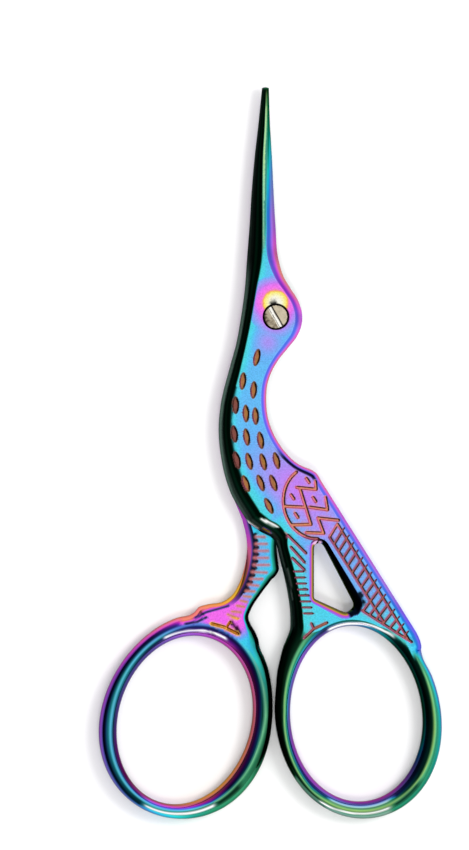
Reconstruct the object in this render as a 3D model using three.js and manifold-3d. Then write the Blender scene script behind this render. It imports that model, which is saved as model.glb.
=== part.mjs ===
// Bird-shaped craft scissors, closed: two forged halves that cross at one slotted pivot screw.
// Millimetres. The pivot axis is x = 0, y = 0, the blades point along +y, and the scissors lie on z = 0.
// The front half carries the whole bird and the right finger bow; the rear half has the left leg and bow.
import * as THREE from "three";
import { mergeVertices } from "three/addons/utils/BufferGeometryUtils.js";
import Module from "manifold-3d";

const wasm = await Module();
wasm.setup();

// Thickness of the halves, and how they lie on each other
const halfThickness = 2.1;
const runningGap = 0.1;
const rolledLand = 0.45; // upright rim below a rolled edge
const bevelLand = 0.9; // the same, below a straight bevel
const cuttingLand = 0.12; // the same, along a ground cutting edge
const rearInset = 0.15; // how far the rear half's outline lies inside the front one

// Blades
const tipReach = 36; // pivot axis to tip
const bladeRoot = 9; // pivot axis to where the blade starts to thin
const tipThickness = 0.8;

// Finger bows
const bowShelf = 0.7; // how near to a bow's opening the front half's flat body comes
const bowClosing = 0.3; // gap between the two bows when closed
const bowDepth = 2 * halfThickness + runningGap;

// Pivot screw
const headRadius = 1.93;
const headHeight = 0.95;
const headDome = 0.2;
const headClearance = 0.15;
const seatGap = 0.05;
const shankRadius = 1.2;
const boreClearance = 0.08; // the front half turns on the shank
const threadClearance = 0.04; // the rear half is threaded for it
const slotWidth = 0.6;
const slotDepth = 0.45;
const slotAngle = 120; // degrees from +x

// Carving
const carveDepth = 0.28;
const grooveWidth = 0.45;
const fineGroove = 0.3;
const featherHalfLength = 1.35;
const featherHalfWidth = 0.58;
const ribPitch = 1.1;
const ribCount = 11;
const ribLength = 1.9;
const ribMargin = 1.45;
const barbPitch = 1.385;
const barbCount = 15;

const frontBase = halfThickness + runningGap;
const frontTop = frontBase + halfThickness;
const turn = Math.PI / 180;

// Blade stations, from root to tip: share of the blade, left edge, ridge left, ridge right, right edge
const bladeStations = [
  [0, -4.55, -2.1, -1.27, 0.42],
  [0.2, -4.13, -1.96, -1.55, -0.05],
  [0.4, -3.8, -1.99, -1.51, -0.36],
  [0.6, -3.33, -1.93, -1.4, -0.61],
  [0.8, -2.72, -1.66, -1.36, -0.93],
  [1, -2.18, -1.52, -1.38, -1.09],
];

// Outline points of the bird, as x, y and the width of the rounded edge there.
const neckBack = [
  [-4.88, 4.5, 1.96],
  [-5.48, 0, 1.76],
  [-6.26, -4.3, 1.65],
  [-7.27, -8, 1.8],
  [-8.7, -13.9, 1.85],
  [-9.01, -17.8, 2],
  [-8.68, -21.7, 2.2],
  [-7.1, -27.7, 2.6],
  [-4.35, -32.4, 2.65],
  [-2.1, -33.9, 2.5],
];
const belly = [-0.5, -34.75, 2.4];
const rightLeg = [
  [0.1, -35.9, 1.9],
  [0.64, -38.2, 1.85],
  [1.85, -43.5, 1.95],
  [2.17, -45.7, 2.05],
  [2.3, -48.4, 2.2],
];
const aboveKnee = [
  [0.78, 2.68, 1.5],
  [0.23, 1.18, 0.9],
]; // how far right of and above the knee, and the edge width
const tailEdge = [
  [22.1, -49.5, 1],
  [6.9, -25.4, 0.95],
];
const nape = [
  [5.5, -24.05, 0.95],
  [3.47, -23.1, 0.8],
  [1.35, -21.1, 0.85],
  [-0.06, -19, 0.85],
  [-1.16, -16.2, 0.85],
  [-1.51, -13.1, 0.87],
  [-1.32, -10.6, 0.85],
  [-0.69, -8.7, 0.85],
  [0.38, -6.8, 0.85],
  [1.9, -4.9, 0.95],
  [3.36, -3, 1.1],
  [4.07, -1.15, 1.2],
  [4.13, 0.4, 1.2],
  [3.47, 2.6, 1.15],
  [2.29, 4.5, 1.15],
  [1.19, 6.4, 1.35],
];

// The rear half leaves the bird's outline behind the neck and runs down to its leg.
const strapRight = [
  [0.1, -33.5, 0.7],
  [0.2, -29, 0.8],
  [0.15, -25.5, 0.85],
  [-0.1, -22, 0.85],
  [-0.6, -19, 0.85],
];
const strapLeft = [-4.75, -33.4, 1.5];

// Each bow is an egg-shaped oval between its top and the level where both bows end. Its opening is a like
// oval, set in by the rim's width at the sides and the ends, and set off to the left and down. Tilts are in
// degrees.
const bowsEnd = -78.9;
const rightBow = {
  outside: { x: 12.75, top: -44.9, halfWidth: 13, tilt: 10.1, egg: 0.07 },
  rim: { side: 2.65, end: 3.3, left: 0.15, down: 0.5, tilt: 5.5, egg: 0.04 },
};
const leftBow = {
  outside: { x: 0, top: -46.6, halfWidth: 13.4, tilt: -15.9, egg: 0.09 },
  rim: { side: 3, end: 2.9, left: 0.5, down: 0.65, tilt: -16.7, egg: 0 },
};

// Where the leg's and the tail's edges meet the right bow: degrees round its outline, and how far beyond it,
// with the edge width before and past the corner
const kneeOnBow = { degrees: 140.5, beyond: 0.16, edge: 0.7, past: 0.5 };
const tailOnBow = { degrees: 27.5, beyond: 0.74, edge: 0.6, past: 1 };

// Window between the leg and the tail, at the inner face: its corners, and how far each is rounded off
const windowCorners = [
  [5.98, -35.6, 0.5],
  [7.3, -35.6, 0.6],
  [12.55, -45.35, 0.6],
  [11.1, -46.6, 0.6],
  [5.98, -44.3, 0.4],
];
const windowEdge = 0.9;

// Left leg of the rear half, from the neck down: left x, y, right x, y, and the height of its front face
const leftLeg = [
  [-5.75, -30.2, -0.1, -31, halfThickness],
  [-4.85, -33.2, 0.05, -34.6, halfThickness],
  [-4.54, -36.3, 0.27, -37.1, halfThickness + 0.05],
  [-4.77, -38.5, 0.5, -39.4, 2.6],
  [-5.24, -40.4, 0.09, -40.6, 2.95],
  [-5.82, -42.1, -1.16, -42, 3.25],
  [-6.66, -43.5, -2.37, -43.6, 3.5],
  [-7.68, -44.5, -3.28, -45, 3.7],
  [-9.4, -45, -4.07, -46.3, 3.85],
  [-11.1, -45.3, -4.36, -47.3, 3.95],
  [-12.4, -45.8, -3.75, -48.6, 4.05],
  [-12.9, -46.8, -2.85, -50.3, 4.1],
  [-14, -47.3, -2.55, -51.7, 4.15],
  [-15.6, -47.9, -2.1, -53.2, 4.2],
];

// Keels under the front half, which take its leg and tail down to the full depth of the bow:
// left x, y, right x, y, and the height of the underside
const legKeel = [
  [1.35, -38.9, 6.6, -38.9, frontBase],
  [1.8, -41, 6.6, -41, 1.7],
  [2.3, -43.5, 6.6, -43.5, 1.1],
  [2.6, -45.7, 8.4, -46.2, 0.6],
  [2.65, -48.4, 9, -48, 0.3],
  [1.4, -52.6, 5.2, -50.6, 0.2],
];
const tailKeel = [
  [7.2, -34.9, 11.3, -33.8, frontBase],
  [8.7, -38.8, 13.9, -37.9, 1.6],
  [10.9, -43.1, 16.5, -42.1, 0.9],
  [12.6, -46.9, 18.9, -45.9, 0.4],
  [16.2, -48.1, 21.4, -49.8, 0.2],
];

// Edges of the flat halves: how round the edge is, from a straight bevel to a quarter round, and its land
const rolled = { round: 1, land: rolledLand };
const bevelled = { round: 0, land: bevelLand };
const bladeSpine = { round: 0.15, land: rolledLand };
const bladeEdge = { round: 0, land: cuttingLand };

// Edge points of a half, made from [x, y, edge width, edge width past a corner].
function edgePoints(points, shape) {
  return points.map(([x, y, edge, past = edge]) => ({ x, y, edge, past, ...shape }));
}

// The same along a smooth curve through the points.
function smoothEdge(points, perSpan, shape) {
  const curve = new THREE.CatmullRomCurve3(
    points.map(([x, y, edge]) => new THREE.Vector3(x, y, edge)),
    false,
    "centripetal",
  );
  const along = curve.getPoints((points.length - 1) * perSpan);
  return edgePoints(along.map((p) => [p.x, p.y, p.z]), shape);
}

// One side of a blade from root to tip, as [x, y, edge width].
function bladeSide(side) {
  return bladeStations.map(([share, left, ridgeLeft, ridgeRight, right]) => {
    const y = bladeRoot + share * (tipReach - bladeRoot);
    return side === "left" ? [left, y, ridgeLeft - left] : [right, y, right - ridgeRight];
  });
}

// The point u to the right of and v above x, y, once both are turned by an angle.
function turned(x, y, u, v, angle) {
  const [c, s] = [Math.cos(angle), Math.sin(angle)];
  return [x + u * c - v * s, y + u * s + v * c];
}

function ovalPoint({ x, y, halfWidth, halfHeight, tilt, egg }, degrees) {
  const v = halfHeight * Math.sin(degrees * turn);
  const u = halfWidth * Math.cos(degrees * turn) * (1 - egg * Math.sin(degrees * turn));
  return turned(x, y, u, v, tilt * turn);
}

// The inner and outer edge of a bow's rim, at an angle in degrees from its +x side.
function rimEdges({ outside, rim }, degrees) {
  const halfSpan = (outside.top - bowsEnd) / 2;
  const [c, s] = [Math.cos(outside.tilt * turn), Math.sin(outside.tilt * turn)];
  const oval = {
    ...outside,
    y: bowsEnd + halfSpan,
    halfHeight: Math.sqrt(halfSpan ** 2 - (outside.halfWidth * s) ** 2) / c,
  };
  const opening = {
    x: oval.x - rim.left,
    y: oval.y - rim.down,
    halfWidth: oval.halfWidth - rim.side,
    halfHeight: oval.halfHeight - rim.end,
    tilt: rim.tilt,
    egg: rim.egg,
  };
  return [ovalPoint(opening, degrees), ovalPoint(oval, degrees)];
}

// How far a bow reaches to one side at one level: side is 1 for right, -1 for left.
function bowSideAt(bow, y, side) {
  const outline = Array.from({ length: 720 }, (_, i) => rimEdges(bow, i / 2)[1]);
  const near = outline.filter((point) => Math.abs(point[1] - y) < 0.2);
  return side * Math.max(...near.map(([x]) => side * x));
}

// The left bow closes against the right one: the gap between them is least somewhere in their middle thirds.
const closingLevels = Array.from({ length: 50 }, (_, i) => bowsEnd + (0.33 + i * 0.007) * 32);
leftBow.outside.x =
  Math.min(...closingLevels.map((y) => bowSideAt(rightBow, y, -1) - bowSideAt(leftBow, y, 1))) - bowClosing;

function cornerOnBow({ degrees, beyond, edge, past }) {
  const [[x0, y0], [x1, y1]] = rimEdges(rightBow, degrees);
  const share = 1 + beyond / Math.hypot(x1 - x0, y1 - y0);
  return [x0 + (x1 - x0) * share, y0 + (y1 - y0) * share, edge, past];
}

const knee = cornerOnBow(kneeOnBow);
const tailCorner = cornerOnBow(tailOnBow);

// The lower end of the flat body, along the top of the right bow from the leg to the tail.
function shelfOverBow() {
  const from = knee[0] + 3.2;
  const to = tailCorner[0] - 1.9;
  return Array.from({ length: 36 }, (_, i) => {
    const [[x0, y0], [x1, y1]] = rimEdges(rightBow, 175 - 5 * i);
    const share = bowShelf / Math.hypot(x1 - x0, y1 - y0);
    const x = x0 + (x1 - x0) * share;
    return [x, y0 + (y1 - y0) * share, 0.35 + 0.5 * Math.max(0, 1 - (x - from) / 3)];
  }).filter(([x]) => x > from && x < to);
}

// Thickness of one half at y: full up to the blade's root, then thinning to the tip.
function thicknessAt(y) {
  const share = Math.min(Math.max((y - bladeRoot) / (tipReach - bladeRoot), 0), 1);
  return halfThickness + (tipThickness - halfThickness) * share;
}

// How far each point of a closed loop moves inwards over its full edge width. A sharp corner is mitred.
function insets(loop) {
  const normal = (a, b) => {
    const length = Math.hypot(b.x - a.x, b.y - a.y);
    return [-(b.y - a.y) / length, (b.x - a.x) / length];
  };
  return loop.map((point, i) => {
    const before = normal(loop[(i + loop.length - 1) % loop.length], point);
    const after = normal(point, loop[(i + 1) % loop.length]);
    const cross = before[0] * after[1] - before[1] * after[0];
    if (Math.abs(cross) > 0.35) {
      return [
        (point.edge * after[1] - point.past * before[1]) / cross,
        (point.past * before[0] - point.edge * after[0]) / cross,
      ];
    }
    const sum = Math.hypot(before[0] + after[0], before[1] + after[1]);
    return [((before[0] + after[0]) / sum) * point.edge, ((before[1] + after[1]) / sum) * point.edge];
  });
}

// A flat half with worked outer edges. The loop runs counter-clockwise. The inner face is at z = base, and
// the outer face lies up or down from there.
function plate(loop, base, up) {
  const bevelSteps = 4;
  const count = loop.length;
  const inward = insets(loop);
  const rings = Array.from({ length: bevelSteps + 2 }, (_, level) =>
    loop.map(({ x, y, round, land }, i) => {
      const share = Math.max(level - 1, 0) / bevelSteps;
      const angle = (share * Math.PI) / 2;
      const inset = share + round * (1 - Math.cos(angle) - share);
      const rise = share + round * (Math.sin(angle) - share);
      const height = level === 0 ? 0 : land + (thicknessAt(y) - land) * rise;
      return [x + inward[i][0] * inset, y + inward[i][1] * inset, base + (up ? height : -height)];
    }),
  );
  const faces = [];
  for (let level = 0; level + 1 < rings.length; level++) {
    for (let i = 0; i < count; i++) {
      const [a, b] = [level * count + i, level * count + ((i + 1) % count)];
      faces.push([a, b, b + count], [a, b + count, a + count]);
    }
  }
  for (const level of [0, rings.length - 1]) {
    const flat = rings[level].map(([x, y]) => new THREE.Vector2(x, y));
    for (const cap of THREE.ShapeUtils.triangulateShape(flat, [])) {
      const [a, b, c] = cap.map((i) => level * count + i);
      faces.push(level === 0 ? [c, b, a] : [a, b, c]);
    }
  }
  return solid(rings.flat(2), up ? faces : faces.map(([a, b, c]) => [a, c, b]));
}

// A closed body lofted through rings of points, all with the same count; open ends are capped by a fan.
function loft(rings, closed = false) {
  const count = rings[0].length;
  const faces = [];
  const spans = closed ? rings.length : rings.length - 1;
  for (let r = 0; r < spans; r++) {
    const next = (r + 1) % rings.length;
    for (let i = 0; i < count; i++) {
      const j = (i + 1) % count;
      faces.push(
        [r * count + i, r * count + j, next * count + j],
        [r * count + i, next * count + j, next * count + i],
      );
    }
  }
  if (!closed) {
    const last = (rings.length - 1) * count;
    for (let i = 1; i + 1 < count; i++) {
      faces.push([0, i + 1, i], [last, last + i, last + i + 1]);
    }
  }
  return solid(rings.flat(2), faces);
}

function solid(positions, faces) {
  const geometry = new THREE.BufferGeometry()
    .setAttribute("position", new THREE.Float32BufferAttribute(positions, 3))
    .setIndex(faces.flat());
  return manifoldOf(geometry);
}

function manifoldOf(geometry) {
  const bare = geometry.clone();
  bare.deleteAttribute("normal");
  bare.deleteAttribute("uv");
  const merged = mergeVertices(bare, 1e-4);
  const made = new wasm.Manifold(
    new wasm.Mesh({
      numProp: 3,
      vertProperties: merged.attributes.position.array,
      triVerts: new Uint32Array(merged.index.array),
    }),
  );
  if (made.volume() < 0) {
    throw new Error("a body came out inside out");
  }
  return made;
}

// A leg or keel: a section carried from station to station, rounded at its four long edges.
// Each station is left x, y, right x, y and one height; heights gives the section's low and high z from it.
function strap(stations, heights, edge) {
  const rounding = 3;
  const rings = stations.map(([leftX, leftY, rightX, rightY, height]) => {
    const [low, high] = heights(height);
    const width = Math.hypot(rightX - leftX, rightY - leftY);
    const corners = [
      [-1, -1],
      [1, -1],
      [1, 1],
      [-1, 1],
    ];
    const across = Math.min(edge, width / 3);
    const upright = Math.min(edge, (high - low) * 0.4);
    const section = corners.flatMap(([sx, sz], corner) =>
      Array.from({ length: rounding + 1 }, (_, k) => {
        const angle = ((corner + 2 + k / rounding) * Math.PI) / 2;
        const fromCentre = sx * (width / 2 - across) + across * Math.cos(angle);
        const z = (low + high) / 2 + sz * ((high - low) / 2 - upright) + upright * Math.sin(angle);
        return [0.5 + fromCentre / width, z];
      }),
    );
    return section.map(([u, z]) => [leftX + u * (rightX - leftX), leftY + u * (rightY - leftY), z]);
  });
  return loft(rings);
}

// The rim of a bow: an oval section carried round between its inner and outer edge.
function bowRing(bow) {
  const stations = 60;
  const sides = 16;
  const rings = Array.from({ length: stations }, (_, i) => {
    const [[x0, y0], [x1, y1]] = rimEdges(bow, (i / stations) * 360);
    return Array.from({ length: sides }, (_, k) => {
      const angle = -(k / sides) * 2 * Math.PI;
      const share = (1 + Math.cos(angle)) / 2;
      return [x0 + (x1 - x0) * share, y0 + (y1 - y0) * share, (bowDepth / 2) * (1 + Math.sin(angle))];
    });
  });
  return loft(rings, true);
}

// The window's space: straight through the full depth, then opening out along the bevel of the front face.
function windowSpace() {
  const path = new THREE.Path();
  windowCorners.forEach(([x, y, radius], i) => {
    const before = windowCorners[(i + windowCorners.length - 1) % windowCorners.length];
    const after = windowCorners[(i + 1) % windowCorners.length];
    const towards = ([px, py]) => {
      const length = Math.hypot(px - x, py - y);
      return [x + ((px - x) / length) * radius, y + ((py - y) / length) * radius];
    };
    const [startX, startY] = towards(before);
    const [endX, endY] = towards(after);
    if (i === 0) path.moveTo(startX, startY);
    else path.lineTo(startX, startY);
    path.quadraticCurveTo(x, y, endX, endY);
  });
  path.closePath();
  const points = path.getPoints(5).slice(0, -1);
  if (THREE.ShapeUtils.isClockWise(points)) points.reverse();
  const loop = edgePoints(points.map((p) => [p.x, p.y, -1]), bevelled);
  const outward = insets(loop);
  const slope = windowEdge / (halfThickness - bevelLand);
  const ring = (z) => {
    const widening = Math.max(0, z - frontBase - bevelLand) * slope;
    return loop.map(({ x, y }, i) => [x + outward[i][0] * widening, y + outward[i][1] * widening, z]);
  };
  return loft([-1, frontBase + bevelLand, frontTop + 0.5].map(ring));
}

// A straight groove in the outer face, whose top is at z = face.
function groove([x0, y0], [x1, y1], face, width = grooveWidth) {
  const box = new THREE.BoxGeometry(Math.hypot(x1 - x0, y1 - y0) + width * 0.5, width, 2 * carveDepth);
  box.rotateZ(Math.atan2(y1 - y0, x1 - x0));
  box.translate((x0 + x1) / 2, (y0 + y1) / 2, face);
  return manifoldOf(box);
}

function polyGroove(points, face, width) {
  return points.slice(1).map((p, i) => groove(points[i], p, face, width));
}

// The oval feather marks of the neck, in rows from the head down: x, y of each, leaning with the neck.
const featherRows = [
  [[-3, -6.4]],
  [[-5.2, -10.1], [-3.5, -11.5]],
  [[-6.3, -13.9], [-4.7, -15.2], [-3.2, -15.6]],
  [[-6.5, -18.4], [-4.6, -18.9], [-2.4, -19.4]],
  [[-6.1, -22.5], [-4.2, -22.7], [-2, -22.8], [0.1, -22.6]],
  [[-4.7, -26.2], [-2.4, -26.1], [-0.4, -26.1]],
  [[-1.1, -29.7]],
];

function feathers(face) {
  const sides = 14;
  return featherRows.flat().map(([x, y]) => {
    const lean = (-12.5 + (-6.4 - y) * 1.66) * turn;
    const rings = [-carveDepth, 0, carveDepth].map((z, level) => {
      const spread = [0.72, 1, 1.28][face > halfThickness ? level : 2 - level];
      return Array.from({ length: sides }, (_, i) => {
        const angle = (i / sides) * 2 * Math.PI;
        const u = featherHalfWidth * spread * Math.cos(angle);
        const v = featherHalfLength * (1 + (spread - 1) * 0.5) * Math.sin(angle);
        return [...turned(x, y, u, v, lean), face + z];
      });
    });
    return loft(rings);
  });
}

// The wing: an oval line, three zigzags and four short strokes.
function wing(face) {
  const oval = { x: 6.1, y: -29.2, a: 4.9, b: 5.7, tilt: 12, from: 112, to: 268, steps: 12 };
  const arc = Array.from({ length: oval.steps + 1 }, (_, i) => {
    const t = (oval.from + ((oval.to - oval.from) * i) / oval.steps) * turn;
    const [u, v] = [oval.a * Math.cos(t), oval.b * Math.sin(t)];
    return turned(oval.x, oval.y, u, v, oval.tilt * turn);
  });
  const zigzags = [
    [[1.3, -29.75], [4.1, -29.9]],
    [[6.3, -27.1], [3.5, -27], [5.4, -32.5], [2.3, -32.6]],
    [[6.3, -27.1], [5.9, -24.9]],
    [[5, -29.95], [8.1, -30.3], [7.9, -28.4]],
    [[9.9, -31.9], [6.8, -31.7], [7.5, -34], [4.8, -33.9]],
  ];
  const strokes = [
    [[4.8, -25.4], [5.2, -26]],
    [[2.4, -28], [2.8, -28.6]],
    [[5.85, -28.4], [6.25, -29]],
    [[3.05, -30.9], [3.45, -31.5]],
  ];
  return [
    ...polyGroove(arc, face),
    ...zigzags.flatMap((line) => polyGroove(line, face)),
    ...strokes.map(([a, b]) => groove(a, b, face, 0.55)),
  ];
}

// The tail: two long quills with slanting barbs between them, and a hem over the bow. The inner quill ends on
// the hem, and so do the last barbs.
function tail(face) {
  const quillIn = [[8.4, -34.6], [16.9, -47.95]];
  const quillOut = [[9.8, -32.7], [21.2, -50.9]];
  const hem = [[13.75, -46.25], [16.9, -47.95], [21.3, -50.8]];
  const barbTip = 0.6; // how far a barb goes on past the outer quill
  const along = ([[x0, y0], [x1, y1]], distance) => {
    const length = Math.hypot(x1 - x0, y1 - y0);
    return [x0 + ((x1 - x0) * distance) / length, y0 + ((y1 - y0) * distance) / length];
  };
  const hemLevel = (x) => {
    const [[x0, y0], [x1, y1]] = hem.slice(1);
    return y0 + ((y1 - y0) * (x - x0)) / (x1 - x0);
  };
  const barbs = Array.from({ length: barbCount }, (_, i) => {
    const root = along(quillIn, i * barbPitch);
    const end = along(quillOut, i * barbPitch);
    const length = Math.hypot(end[0] - root[0], end[1] - root[1]);
    const below = root[1] < hem[1][1] ? hemLevel(root[0]) - root[1] : 0;
    const start = along([root, end], (below / (end[1] - root[1])) * length * 0.8);
    return groove(start, along([root, end], length + barbTip * (i > 0)), face, fineGroove);
  });
  return [
    ...polyGroove(quillIn, face, fineGroove),
    ...polyGroove(quillOut, face, fineGroove),
    ...barbs,
    ...polyGroove(hem, face, fineGroove),
  ];
}

// The right leg: three slanting strokes, then short ribs, then the knee's mark.
function rightLegMarks(face) {
  const slants = [
    [[1.9, -34.3], [4.7, -37.1]],
    [[2.4, -36.6], [4.6, -38.5]],
    [[2.7, -37.9], [4.2, -39.9]],
  ];
  const ribs = Array.from({ length: 8 }, (_, i) => {
    const y = -40 - i * 0.98;
    const x = 3 + i * 0.24;
    return groove([x, y], [x + 1.25, y + 0.1], face, fineGroove);
  });
  const mark = [[[4.5, -50.5], [6, -49], [8, -48.1]], [[6, -49], [5.7, -48]]];
  return [
    ...slants.map(([a, b]) => groove(a, b, face, fineGroove)),
    ...ribs,
    ...mark.flatMap((line) => polyGroove(line, face, fineGroove)),
  ];
}

// The left leg at y: where its left and right edges are, and the height of its front face.
function leftLegAt(y) {
  const between = (yAt, valueAt) => {
    const below = leftLeg.findIndex((station) => yAt(station) < y);
    const i = below < 1 ? (below === 0 ? 1 : leftLeg.length - 1) : below;
    const [a, b] = [leftLeg[i - 1], leftLeg[i]];
    return valueAt(a) + ((valueAt(b) - valueAt(a)) * (yAt(a) - y)) / (yAt(a) - yAt(b));
  };
  const left = between((station) => station[1], (station) => station[0]);
  const right = between((station) => station[3], (station) => station[2]);
  return { left, right, face: between((station) => station[3], (station) => station[4]) };
}

// Ribs down the left leg, each from near its right edge to near its left one, but no longer than on the calf.
function leftLegRibs() {
  return Array.from({ length: ribCount }, (_, i) => {
    const y = belly[1] - 0.2 - i * ribPitch;
    const { left, right, face } = leftLegAt(y);
    const end = right - ribMargin;
    const start = Math.max(left + ribMargin, end - ribLength);
    return groove([start, y], [end, y - 0.05], face, grooveWidth);
  });
}

// A cylinder on the pivot axis between two heights.
function rod(radius, low, high) {
  const cylinder = new THREE.CylinderGeometry(radius, radius, high - low, 48);
  return manifoldOf(cylinder.rotateX(Math.PI / 2).translate(0, 0, (low + high) / 2));
}

function cutAll(body, cutters) {
  return cutters.reduce((made, cutter) => made.subtract(cutter), body);
}

function frontHalf() {
  const legEnd = aboveKnee.map(([x, y, edge]) => [knee[0] + x, knee[1] + y, edge]);
  const outline = [
    ...smoothEdge(bladeSide("left").reverse(), 4, bladeSpine),
    ...smoothEdge(neckBack, 4, rolled),
    ...edgePoints([belly], rolled),
    ...smoothEdge([...rightLeg, ...legEnd], 3, rolled),
    ...edgePoints([knee, ...shelfOverBow(), tailCorner], rolled),
    ...edgePoints(tailEdge, bevelled),
    ...smoothEdge(nape, 4, bevelled),
    ...smoothEdge(bladeSide("right"), 4, bladeEdge),
  ];
  const body = plate(outline, frontBase, true);
  const keelHeights = (low) => [Math.min(low, frontBase), frontBase + halfThickness / 2];
  const whole = body
    .add(bowRing(rightBow))
    .add(strap(legKeel, keelHeights, 0.5))
    .add(strap(tailKeel, keelHeights, 0.5));
  return cutAll(whole, [
    windowSpace(),
    rod(shankRadius + boreClearance, 0, frontTop + 1),
    rod(headRadius + headClearance, frontTop - headHeight - seatGap, frontTop + 1),
    ...feathers(frontTop),
    ...wing(frontTop),
    ...tail(frontTop),
    ...rightLegMarks(frontTop),
  ]);
}

// The rear half follows the front one down to the belly, a little inside it, and then runs into its own leg.
function rearHalf() {
  const outline = [
    ...smoothEdge(bladeSide("left").reverse(), 4, bladeEdge),
    ...smoothEdge(neckBack.slice(0, 8), 4, rolled),
    ...edgePoints([strapLeft], rolled),
    ...smoothEdge([...strapRight, ...nape.slice(4)], 4, bevelled),
    ...smoothEdge(bladeSide("right"), 4, bladeSpine),
  ];
  const inward = insets(outline.map((point) => ({ ...point, edge: rearInset, past: rearInset })));
  const inside = outline.map((point, i) => ({
    ...point,
    x: point.x + inward[i][0],
    y: point.y + inward[i][1],
    edge: point.edge - rearInset,
    past: point.past - rearInset,
  }));
  const body = plate(inside, halfThickness, false);
  const whole = body.add(strap(leftLeg, (high) => [0, high], 0.95)).add(bowRing(leftBow));
  return cutAll(whole, [
    rod(shankRadius + threadClearance, -1, halfThickness + 1),
    ...feathers(0),
    ...leftLegRibs(),
  ]);
}

// The screw: a domed, slotted head in the front half's counterbore, and a shank filed flush under the rear
// half.
function pivotScrew() {
  const seat = frontTop - headHeight;
  const rim = frontTop - headDome;
  const bevel = 0.12;
  const profile = [
    [0, 0],
    [shankRadius, 0],
    [shankRadius, seat],
    [headRadius, seat],
    [headRadius, rim - bevel],
    [headRadius - bevel, rim],
    [headRadius * 0.6, frontTop - headDome * 0.35],
    [0, frontTop],
  ].map(([r, z]) => new THREE.Vector2(r, z));
  const blank = manifoldOf(new THREE.LatheGeometry(profile, 48).rotateX(Math.PI / 2));
  const slot = new THREE.BoxGeometry(3 * headRadius, slotWidth, 2 * slotDepth);
  slot.rotateZ(slotAngle * turn).translate(0, 0, frontTop);
  return blank.subtract(manifoldOf(slot));
}

function meshOf(name, made, material) {
  const { numProp, vertProperties, triVerts } = made.getMesh();
  if (numProp !== 3) throw new Error("a solid carries more than positions");
  const geometry = new THREE.BufferGeometry()
    .setAttribute("position", new THREE.BufferAttribute(vertProperties, 3))
    .setIndex(new THREE.BufferAttribute(triVerts, 1));
  geometry.computeVertexNormals();
  const mesh = new THREE.Mesh(geometry, material);
  mesh.name = name;
  return mesh;
}

const plated = new THREE.MeshStandardMaterial({ color: 0x5f8df0, roughness: 0.25, metalness: 1 });
const steel = new THREE.MeshStandardMaterial({ color: 0xcfc4b4, roughness: 0.3, metalness: 1 });

const scissors = new THREE.Group();
scissors.add(
  meshOf("front_half", frontHalf(), plated),
  meshOf("rear_half", rearHalf(), plated),
  meshOf("pivot_screw", pivotScrew(), steel),
);

export default scissors;
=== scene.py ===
import bpy
import numpy as np
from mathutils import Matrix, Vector
from mathutils.geometry import delaunay_2d_cdt


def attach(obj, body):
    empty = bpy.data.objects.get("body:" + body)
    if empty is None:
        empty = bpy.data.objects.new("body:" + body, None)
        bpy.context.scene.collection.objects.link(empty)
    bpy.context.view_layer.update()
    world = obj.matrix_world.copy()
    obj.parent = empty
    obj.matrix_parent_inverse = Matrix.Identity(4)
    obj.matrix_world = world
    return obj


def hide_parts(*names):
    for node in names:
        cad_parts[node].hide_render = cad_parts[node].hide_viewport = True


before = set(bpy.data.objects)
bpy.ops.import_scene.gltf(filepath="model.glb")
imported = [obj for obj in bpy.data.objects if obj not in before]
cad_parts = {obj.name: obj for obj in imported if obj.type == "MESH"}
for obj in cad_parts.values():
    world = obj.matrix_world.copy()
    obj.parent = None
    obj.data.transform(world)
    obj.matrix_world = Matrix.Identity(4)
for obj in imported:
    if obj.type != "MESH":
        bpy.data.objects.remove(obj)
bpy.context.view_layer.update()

# Bird-shaped scissors, closed, lying on their back. All sizes are in millimetres until a mesh is made.
mm = 0.001
turn = np.pi / 180

halves = {
    "thickness": 2.1,       # of one half
    "gap": 0.1,             # between them
    "tipThickness": 0.8,
    "bladeRoot": 9,         # where the blades start to thin
    "tip": 36,
    "tipBulge": 0.12,       # how far the blunt end of a blade bulges
    "landRolled": 0.45,     # upright rim under a rolled edge
    "landBevel": 0.9,       # the same under a straight bevel
    "landCut": 0.12,        # the same along a cutting edge
    "step": 0.22,           # spacing of points along an edge
    "grid": 0.42,           # spacing on the flats
}
frontBase = halves["thickness"] + halves["gap"]
frontTop = frontBase + halves["thickness"]
middle = frontTop / 2
rimLow, rimHigh = middle - 0.05, middle + 0.05  # the narrow upright band round the bows

bows = {  # merge: the levels between which a half's edges go over into those of its bow
    "end": -78.9,
    "right": {"x": 12.75, "top": -44.9, "halfWidth": 13, "tilt": 10.1, "egg": 0.07, "merge": (-38, -50),
              "side": 2.65, "endRim": 3.3, "left": 0.15, "down": 0.5, "openTilt": 5.5, "openEgg": 0.04},
    "left": {"x": -13.84, "top": -46.6, "halfWidth": 13.4, "tilt": -15.9, "egg": 0.09, "merge": (-35, -47),
             "side": 3, "endRim": 2.9, "left": 0.5, "down": 0.65, "openTilt": -16.7, "openEgg": 0},
}
pivot = {"counterbore": 2.08, "seat": 1.0, "frontBore": 1.28, "rearBore": 1.24}  # radii, and the seat's depth


def smoothstep(low, high, value):  # 0 below low, 1 above high, an S between
    t = np.clip((value - low) / (high - low), 0, 1)
    return t * t * (3 - 2 * t)


def bump(value, centre, width):  # 1 at the centre, falling off like a bell
    return np.exp(-((value - centre) / width) ** 2)


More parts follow.
